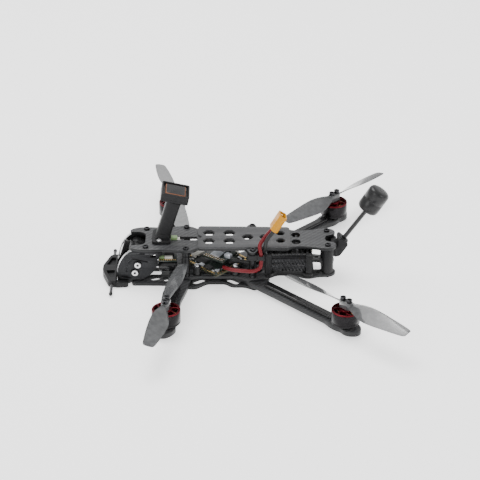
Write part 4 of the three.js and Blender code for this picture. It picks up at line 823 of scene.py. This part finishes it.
# long sides: frames with slanted bars, so the slots are real openings
for s in SIDES:
    for x0, x1 in ((-37.6, -33.6), (-10.6, -8.1)):
        vb.append(block(x0, x1, min(s * 14.2, s * 15.0), max(s * 14.2, s * 15.0), 10.9, 19.8, 0.12))
    vb.append(block(-34, -10, min(s * 14.2, s * 15.0), max(s * 14.2, s * 15.0), 14.9, 16.0, 0.12))
    for i in range(11):
        x = -10.6 - i * 2.25
        for za, zb in ((15.8, 19.7), (11.2, 15.1)):
            if zb < 16 and i < 3:
                continue
            sh = [(x, zb), (x - 1.15, zb), (x - 3.1, za), (x - 1.95, za)]
            vb.append(plate_mesh(sh, [], min(-s * 14.25, -s * 14.95), max(-s * 14.25, -s * 14.95), 0.08, UP))
    vb.append(block(-17.8, -10, min(s * 14.2, s * 15.0), max(s * 14.2, s * 15.0), 11.0, 15.2, 0.15))
finish_mesh("video_unit_case", merged(*vb), GREY_ANO, stands_for=["video_unit_body"])
lid = [plate_mesh(unit, [], 20.4, 22.0, 0.25, segs=3)]
for i in range(8):
    lid.append(block(-35.4 + i * 3.35, -33.9 + i * 3.35, -12.6, 12.6, 21.9, 23.75, 0.3, None, 3))
lid += [block(-37.4, -8.3, s * 13.9 - 0.7, s * 13.9 + 0.7, 21.9, 23.75, 0.3, None, 3) for s in SIDES]
lid.append(block(-37.65, -36.3, 4.0, 9.0, 20.5, 23.7, 0.25))
finish_mesh("video_unit_cover", merged(*lid), BLACK_ANO, stands_for=["video_unit_lid"])
XB = Matrix.Translation((0, 6.5, 22.1)) @ ROTX
finish_mesh("video_button_cap", lathe([(0, -38.2), (0.9, -38.2), (1.2, -38.1), (1.32, -37.9), (1.32, -36.9), (0, -36.9)], 28, XB), CREAM, "video_link_button", stands_for=["video_link_button"])
cr = [plate_mesh(rounded(mirrored([(-38.6, 0), (-38.6, 17.2, 1.8), (-33.4, 17.6, 1.8), (-31, 13.8, 1.5), (-13.4, 13.8, 1.5), (-11, 17.6, 1.8), (-7.0, 17.2, 1.8), (-7.0, 0)])), [rounded([(-34, -11), (-11, -11), (-11, 11), (-34, 11)], 1.5)], 7.5, 10.2, 0.35, segs=3)]
for s in SIDES:
    for x0, x1 in ((-37.9, -33.6), (-11.0, -7.2)):
        cr.append(block(x0, x1, min(s * 15.3, s * 17.2), max(s * 15.3, s * 17.2), 9.0, 24.0, 0.5, None, 4))
        cr.append(block(x0 + 1.2, x1 - 1.2, min(s * 16.9, s * 17.4), max(s * 16.9, s * 17.4), 10.5, 22.6, 0.2, None, 2))
finish_mesh("video_unit_cradle_print", merged(*cr), PRINT, stands_for=["video_unit_cradle"])

# ---------------------------------------------------------------- boards
d = 22.6
fc = rounded([(25.4 + d, 0, 1.6), (25.4, d, 1.6), (25.4 - d, 0, 1.6), (25.4, -d, 1.6)])
finish_mesh("flight_board", plate_mesh(fc, [circle(x, y, 1.6, 24) for x, y in STACK], 10.4, 12.0, 0.06), BOARD, stands_for=["flight_controller"])
q45 = math.pi / 4
rim = plate_mesh([(25.4 + (x - 25.4) * 1.0, y) for x, y in fc], [[(25.4 + (x - 25.4) * 0.972, y * 0.972) for x, y in fc]], 10.75, 11.98, 0.02)
finish_mesh("flight_board_rim", rim, OLIVE)
damp, chips, gold, pale, solder, cream = [], [], [], [], [], []
for x, y in STACK:
    damp.append(lathe([(1.5, 7.5), (2.4, 7.5), (2.6, 7.8), (2.6, 9.6), (2.3, 10.1), (2.3, 12.2), (2.6, 12.5), (2.6, 13.2), (2.4, 13.5), (1.0, 13.5), (1.0, 7.5)], 36, place(x, y, 0)))
finish_mesh("board_dampers", merged(*damp), BLACK_WIRE)
finish_mesh("board_screws", merged(*[cap_screw(x, y, 13.45, 1.85, 1.4, 0.85) for x, y in STACK]), STEEL)


def on(board_rot, cx, cy, z, lx, ly, h, dx=0, dy=0, bev=0.1):
    """A component of lx by ly by h on a board, turned with it."""
    return block(-lx / 2 + dx, lx / 2 + dx, -ly / 2 + dy, ly / 2 + dy, z, z + h, bev, place(cx, cy, 0, board_rot))


rnd = random.Random(11)
E = [(1, 1), (-1, 1), (-1, -1), (1, -1)]
for sx, sy in E:
    a0, b0 = (25.4 + sx * d, 0), (25.4, sy * d)
    L = math.hypot(a0[0] - b0[0], a0[1] - b0[1])
    ux, uy = (b0[0] - a0[0]) / L, (b0[1] - a0[1]) / L
    nx, ny = -sx * 0.7071, -sy * 0.7071
    ang = math.atan2(uy, ux)
    for k in range(15):
        t = 3.2 + k * (L - 6.4) / 14
        x, y = a0[0] + ux * t + nx * 1.3, a0[1] + uy * t + ny * 1.3
        if min(math.hypot(x - p[0], y - p[1]) for p in STACK) < 3.2:
            continue
        gold.append(on(ang, x, y, 11.96, 1.1, 1.5, 0.12, bev=0.03))
    for k in range(10):
        t = 3.5 + k * (L - 7) / 9
        x, y = a0[0] + ux * t + nx * (3.2 + rnd.random() * 2.2), a0[1] + uy * t + ny * (3.2 + rnd.random() * 2.2)
        if min(math.hypot(x - p[0], y - p[1]) for p in STACK) < 3.4:
            continue
        w, l = rnd.choice([(0.6, 1.0), (0.8, 1.6), (1.2, 1.2), (1.0, 2.0)])
        (chips if rnd.random() < 0.5 else pale if rnd.random() < 0.4 else solder).append(on(ang, x, y, 11.95, l, w, 0.5 + 0.3 * rnd.random(), bev=0.08))
for x, y, rt, lx, ly, h, kind in ((34.6, 3.6, q45, 7.0, 7.0, 1.0, "c"), (37.6, -5.6, q45, 8.8, 3.8, 1.65, "w"), (14.0, -8.0, -q45, 8.8, 3.4, 1.65, "w"), (30.2, 12.4, -q45, 4.4, 4.4, 1.3, "c"), (24.9, 16.6, -q45, 2.6, 2.2, 0.9, "p"), (27.5, 16.9, -q45, 1.8, 1.2, 0.9, "s"), (34.9, 8.9, -q45, 3.4, 2.8, 1.1, "p"), (22.6, 13.3, -q45, 2.4, 1.6, 0.8, "c")):
    {"c": chips, "w": cream, "p": pale, "s": solder}[kind].append(on(rt, x, y, 11.9, lx, ly, h))
finish_mesh("boot_button_cap", lathe([(0, 12.35), (0.74, 12.35), (0.74, 13.1), (0.6, 13.32), (0, 13.35)], 24, place(43.6, 1.4, 0)), CREAM, "boot_button", stands_for=["boot_button"])
# the button's case is four walls round the button
for a in range(4):
    solder.append(block(0.95, 1.25, -1.25, 1.25, 11.95, 12.75, 0.05, place(43.6, 1.4, 0, a * math.pi / 2 + q45)))
# upper board
A1, B1, C1, D1 = (34.9, 4.4), (20.9, 14.3), (11.0, 0.3), (25.0, -9.6)
tu = math.atan2(B1[1] - A1[1], B1[0] - A1[0])
finish_mesh("upper_circuit_board", plate_mesh(rounded([A1, B1, C1, D1], 1.0), [], 16.2, 17.4, 0.06), BOARD, stands_for=["speed_controller"])
finish_mesh("upper_board_foam", block(18.5, 27.5, -3.5, 7.5, 14.0, 16.15, 0.5, None, 4), PRINT)
ux, uy = (B1[0] - A1[0]) / math.hypot(B1[0] - A1[0], B1[1] - A1[1]), (B1[1] - A1[1]) / math.hypot(B1[0] - A1[0], B1[1] - A1[1])
nx, ny = uy, -ux
if (18 - A1[0]) * nx + (2 - A1[1]) * ny < 0:
    nx, ny = -nx, -ny
for k in range(10):
    for row in (1.1, 2.9):
        x, y = A1[0] + ux * (1.4 + k * 1.58) + nx * row, A1[1] + uy * (1.4 + k * 1.58) + ny * row
        gold.append(on(tu, x, y, 17.37, 1.0, 1.25, 0.14, bev=0.03))
        solder.append(lathe([(0, 17.45), (0.42, 17.45), (0.36, 17.66), (0.18, 17.78), (0, 17.8)], 14, place(x, y, 0)))
pale.append(on(tu, 24.6, 3.4, 17.35, 6.8, 6.8, 0.95))
pale.append(on(tu, 17.4, 7.4, 17.35, 4.4, 3.4, 2.4, bev=0.35))
cream.append(on(tu, 20.5, -4.6, 17.35, 7.2, 3.4, 2.55))
for k in range(16):
    x, y = A1[0] + ux * (1 + 15 * rnd.random()) + nx * (4.5 + 10 * rnd.random()), A1[1] + uy * (1 + 15 * rnd.random()) + ny * (4.5 + 10 * rnd.random())
    if math.hypot(x - 24.6, y - 3.4) < 5.4 or math.hypot(x - 17.4, y - 7.4) < 3.4 or math.hypot(x - 20.5, y + 4.6) < 4.2:
        continue
    (chips if rnd.random() < 0.6 else solder).append(on(tu, x, y, 17.37, 1.6, 0.9, 0.6, bev=0.08))
# receiver behind the camera and its neighbours
finish_mesh("receiver_board", plate_mesh(rounded([(51.4, -8.6), (63.7, -8.6), (63.7, 8.6), (51.4, 8.6)], 0.8), [], 14.3, 15.6, 0.08), BOARD, stands_for=["receiver"])
gold += [on(0, 52.4 + 1.3 * k, 7.8, 15.57, 0.9, 1.3, 0.12, bev=0.03) for k in range(9)]
chips += [on(0, 56.5, -0.5, 15.5, 6.5, 7.0, 1.1), on(0, 61.6, 3.5, 15.5, 2.4, 3.4, 0.8)]
cream.append(on(0, 56.9, 6.2, 15.5, 5.2, 1.7, 2.05))
finish_mesh("receiver_plug", merged(on(0, 61.3, 6.0, 15.5, 3.2, 2.0, 2.05)), GREEN)
finish_mesh("chips", merged(*chips), CHIP)
finish_mesh("gold_pads", merged(*gold), GOLD)
finish_mesh("pale_parts", merged(*pale), BRIGHT_CHIP)
finish_mesh("solder_parts", merged(*solder), SOLDER)
finish_mesh("plug_sockets", merged(*cream), CREAM)
XC = Matrix.Translation((0, 4.6, 9.9)) @ ROTX
finish_mesh("capacitor_can", lathe([(0, 51.3), (3.6, 51.3), (3.9, 51.6), (3.9, 52.3), (3.6, 52.6), (3.6, 52.9), (3.95, 53.3), (4.0, 53.6), (4.0, 63.0), (3.8, 63.5), (0, 63.6)], 48, XC), SLEEVE, stands_for=["capacitor"])
# guide of the battery lead
g1 = plate_mesh(rounded([(-6.6, 13.0, 1.8), (5.0, 13.0, 1.6), (5.0, 20.0, 1.6), (-1.6, 20.2, .3), (-1.6, 21.4, 1.5), (-6.6, 21.4, 1.8)], 0, 8), [circle(ROW3[0], ROW3[1], 2.65, 32), stadium(-4.0, 15.4, -4.0, 18.9, 1.85, 12)], 22.4, 25.2, 0.35, segs=3)
g2 = plate_mesh(rounded([(-2.4, 13.0, 1.6), (5.0, 13.0, 1.6), (5.0, 20.0, 1.6), (-2.4, 20.0, 1.6)], 0, 8), [circle(ROW3[0], ROW3[1], 2.65, 32)], 21.4, 22.6, 0.25, segs=3)
finish_mesh("lead_guide_print", merged(g1, g2), PRINT, stands_for=["power_lead_guide"])

# ---------------------------------------------------------------- motor wires: three under one sleeve
a57 = 5.7 * DEG
for end, f, w, l0, l1 in (("front", lambda a: (MX - math.sin(a57) * a - 0.3, MY - math.cos(a57) * a), 3.0, 9.6, 50.5), ("rear", lambda a: (-MX + math.sqrt(.5) * a, MY - math.sqrt(.5) * a), 2.9, 9.6, 69)):
    p0, p1 = f(l0), f(l1)
    L = math.hypot(p1[0] - p0[0], p1[1] - p0[1])
    dx, dy = (p1[0] - p0[0]) / L, (p1[1] - p0[1]) / L
    for side, s in (("left", 1), ("right", -1)):
        bm = bmesh.new()
        rings = []
        N = 60
        for k in range(N + 1):
            t = k / N * L
            edge = min(t, L - t)
            pinch = 1 - 0.10 * math.exp(-(edge / 1.2) ** 2)
            ripple = 0.04 * math.sin(t * 0.9 + 1.3 * s) + 0.03 * math.sin(t * 2.3)
            ring = []
            M2 = 28
            for i in range(M2):
                q = 2 * math.pi * i / M2
                u = math.cos(q)
                hgt = math.sin(q)
                x = w * 0.97 * math.copysign(abs(u) ** 0.72, u) * pinch
                bump3 = 0.18 * math.cos(x / w * 3 * math.pi)
                zz = 1.13 + (1.05 + (bump3 + ripple) * (1 if hgt > 0 else 0)) * math.copysign(abs(hgt) ** 0.7, hgt) * pinch * 0.98
                zz = max(zz, 0.02)
                px, py = p0[0] + dx * t - dy * x, p0[1] + dy * t + dx * x
                ring.append(bm.verts.new((px * S, s * py * S, (Z_ARM[1] + min(zz, 2.3)) * S)))
            rings.append(ring)
        for A0, B0 in zip(rings, rings[1:]):
            for i in range(M2):
                j = (i + 1) % M2
                bm.faces.new([A0[i], A0[j], B0[j], B0[i]])
        bm.faces.new(rings[0]); bm.faces.new(rings[-1])
        o = finish_mesh(f"motor_leads_{end}_{side}", bm, SLEEVE, smooth=50, stands_for=[f"motor_wires_{end}_{side}"])
        for i, off in enumerate((-1.75, 0, 1.75)):
            q0 = (p0[0] + dx * 0.6 - dy * off, s * (p0[1] + dy * 0.6 + dx * off), Z_ARM[1] + 1.1)
            q1 = (p0[0] - dx * 1.2 - dy * off * 0.8, s * (p0[1] - dy * 1.2 + dx * off * 0.8), Z_ARM[1] + 0.95)
            q2 = (p0[0] - dx * 2.5 - dy * off * 0.6, s * (p0[1] - dy * 2.5 + dx * off * 0.6), Z_ARM[1] + 0.8)
            curve_tube(f"motor_tail_{end}_{side}_{i}", catmull([q0, q1, q2], 5), 0.62, BLACK_WIRE)

# ---------------------------------------------------------------- motors and propellers
ANG = {"front_left": 78.7, "front_right": 101.9, "rear_left": 135.3, "rear_right": 45.5}
DIR = {"front_left": -1, "front_right": 1, "rear_left": 1, "rear_right": -1}
ROT = {"front_left": FRONT_ROT, "front_right": -FRONT_ROT, "rear_left": REAR_ROT, "rear_right": -REAR_ROT}


def blade_mesh(direction, matrix):
    """Two twisted blades in one moulding: sections lofted along the span."""
    secs = [(2.6, 4.4, 36, 2.0), (5, 5.2, 38, 1.8), (7, 6.4, 38, 1.6), (10, 8.4, 36, 1.45), (13, 10.2, 33, 1.35), (16.5, 11.6, 29.5, 1.27), (20, 12.3, 26, 1.2), (23.5, 12.4, 23, 1.12), (27, 12.2, 20.5, 1.05), (32.5, 11.4, 17.5, 0.97),
            (38, 10.4, 15, 0.9), (43, 9.3, 13.4, 0.82), (47.5, 8.1, 12, 0.75), (49.4, 7.2, 11.5, 0.68), (50.3, 6.2, 11.2, 0.6), (50.75, 5.0, 11, 0.5)]
    up = [(-0.5, 0.0), (-0.42, 0.16), (-0.3, 0.30), (-0.15, 0.42), (0.0, 0.49), (0.15, 0.51), (0.28, 0.46), (0.39, 0.36), (0.46, 0.25)]
    dn = [(0.5, 0.12), (0.47, 0.0), (0.38, -0.1), (0.2, -0.18), (0.0, -0.22), (-0.2, -0.2), (-0.38, -0.1)]
    prof = up + dn
    bm = bmesh.new()
    for turn in (0, math.pi):
        c0, s0 = math.cos(turn), math.sin(turn)
        rings = []
        for r, ch, a, t in secs:
            q = a * DEG
            ring = []
            for u, v in prof:
                y = u * ch - 0.06 * ch
                zv = v * t
                Y = direction * (y * math.cos(q) - zv * math.sin(q))
                Z = y * math.sin(q) + zv * math.cos(q)
                ring.append(bm.verts.new(((r * c0 - Y * s0) * S, (r * s0 + Y * c0) * S, Z * S)))
            rings.append(ring)
        for A0, B0 in zip(rings, rings[1:]):
            for i in range(len(prof)):
                j = (i + 1) % len(prof)
                bm.faces.new([A0[i], A0[j], B0[j], B0[i]])
        bm.faces.new(rings[0]); bm.faces.new(rings[-1])
    hub = plate_mesh(stadium(-2.5, 0, 2.5, 0, 2.45, 14), [circle(2.5, 0, 1.1, 20), circle(-2.5, 0, 1.1, 20)], -3.0, 2.0, 0.3, segs=3)
    bmesh.ops.recalc_face_normals(bm, faces=bm.faces[:])
    out = merged(bm, hub)
    out.transform(mm(matrix))
    return out


for name, x, y in (("front_left", MX, MY), ("front_right", MX, -MY), ("rear_left", -MX, MY), ("rear_right", -MX, -MY)):
    a = ANG[name] * DEG
    T = place(x, y, 0)
    R = place(x, y, 0, a)
    rotor = "rotor_" + name
    # bell: black can with the magnets inside, red top with curved spokes
    can = lathe([(8.15, 7.7), (8.9, 7.62), (9.15, 7.85), (9.17, 9.0), (9.12, 9.1), (9.12, 9.25), (9.17, 9.35), (9.17, 15.9), (9.07, 16.05), (8.15, 16.05)], 96, T)
    finish_mesh(f"bell_can_{name}", can, BELL_BLACK, rotor, stands_for=[f"motor_bell_{name}"])
    red = [lathe([(7.7, 15.0), (8.1, 15.0), (8.1, 16.1), (9.1, 16.1), (9.18, 16.2), (9.16, 16.55), (9.0, 16.8), (8.7, 16.88), (8.0, 16.88), (7.75, 16.75), (7.65, 16.5)], 96, T),
           lathe([(0, 15.0), (3.7, 15.0), (3.9, 15.2), (3.9, 17.1), (3.7, 17.38), (0, 17.38)], 56, T)]
    for i in range(6):
        t0 = a + i * math.pi / 3 + 0.26
        left, right = [], []
        for k in range(9):
            rr = 3.5 + 4.5 * k / 8
            sweep = t0 + 0.42 * DIR[name] * (k / 8) ** 1.4
            half = (0.85 - 0.3 * math.sin(math.pi * k / 8)) / rr
            left.append((rr * math.cos(sweep + half), rr * math.sin(sweep + half)))
            right.append((rr * math.cos(sweep - half), rr * math.sin(sweep - half)))
        red.append(plate_mesh(left + right[::-1], [], 15.35, 16.65, 0.18, T))
    finish_mesh(f"bell_top_{name}", merged(*red), RED_ANO, rotor)
    mag = []
    for i in range(12):
        q = a + i * math.pi / 6
        mag.append(block(7.45, 8.1, -1.55, 1.55, 8.2, 14.4, 0.15, place(x, y, 0, q)))
    mag.append(lathe([(0, 6.3), (0.72, 6.3), (0.74, 6.5), (0.74, 15.1), (0, 15.1)], 24, T))
    finish_mesh(f"bell_magnets_{name}", merged(*mag), MAGNET, rotor)
    finish_mesh(f"propeller_{name}_blades", blade_mesh(DIR[name], place(x, y, PROP_Z, a)), PROP, rotor, smooth=50, stands_for=[f"propeller_{name}"])
    ps = []
    for dd in (2.5, -2.5):
        ps.append(cap_screw(dd, 0, PROP_Z + 2.05, 1.88, 2.05, 0.85, R))
        ps.append(lathe([(0, 17.2), (0.9, 17.2), (0.9, PROP_Z + 2.1), (0, PROP_Z + 2.1)], 20, R @ Matrix.Translation((dd, 0, 0))))
    finish_mesh(f"propeller_screws_{name}", merged(*ps), DARK_STEEL, rotor)
    # base with four feet, bearing tube
    rt = ROT[name]
    base = [lathe([(0.95, 5.5), (5.0, 5.5), (5.2, 5.7), (5.0, 6.9), (3.0, 7.2), (2.9, 7.6), (2.9, 13.7), (2.75, 13.9), (0.95, 13.9)], 48, T)]
    for i in range(4):
        q = rt + i * math.pi / 2
        base.append(plate_mesh(stadium(0, 0, PAD_HOLES + 0.2, 0, 1.95, 10), [circle(PAD_HOLES, 0, 0.9, 16)], 5.5, 7.0, 0.2, place(x, y, 0, q)))
    finish_mesh(f"motor_foot_{name}", merged(*base), BLACK_ANO, stands_for=[f"motor_base_{name}"])
    # stator: nine wound teeth
    wind, core = [], []
    for i in range(9):
        q = i * 40 * DEG
        wind.append(block(3.7, 6.1, -1.15, 1.15, 8.5, 13.1, 0.55, place(x, y, 0, q), 4))
        core.append(block(3.1, 6.6, -0.45, 0.45, 9.3, 12.3, 0.05, place(x, y, 0, q)))
        core.append(plate_mesh([(6.98 * math.cos(t), 6.98 * math.sin(t)) for t in [(-17 + 34 * k / 6) * DEG for k in range(7)]] + [(6.4 * math.cos(t), 6.4 * math.sin(t)) for t in [(17 - 34 * k / 6) * DEG for k in range(7)]], [], 9.1, 12.5, 0.05, place(x, y, 0, q)))
    core.append(lathe([(3.26, 9.1), (3.9, 9.1), (3.9, 12.5), (3.26, 12.5)], 40, T))
    finish_mesh(f"stator_windings_{name}", merged(*wind), COPPER, stands_for=[f"motor_stator_{name}"])
    finish_mesh(f"stator_core_{name}", merged(*core), DARK_STEEL)
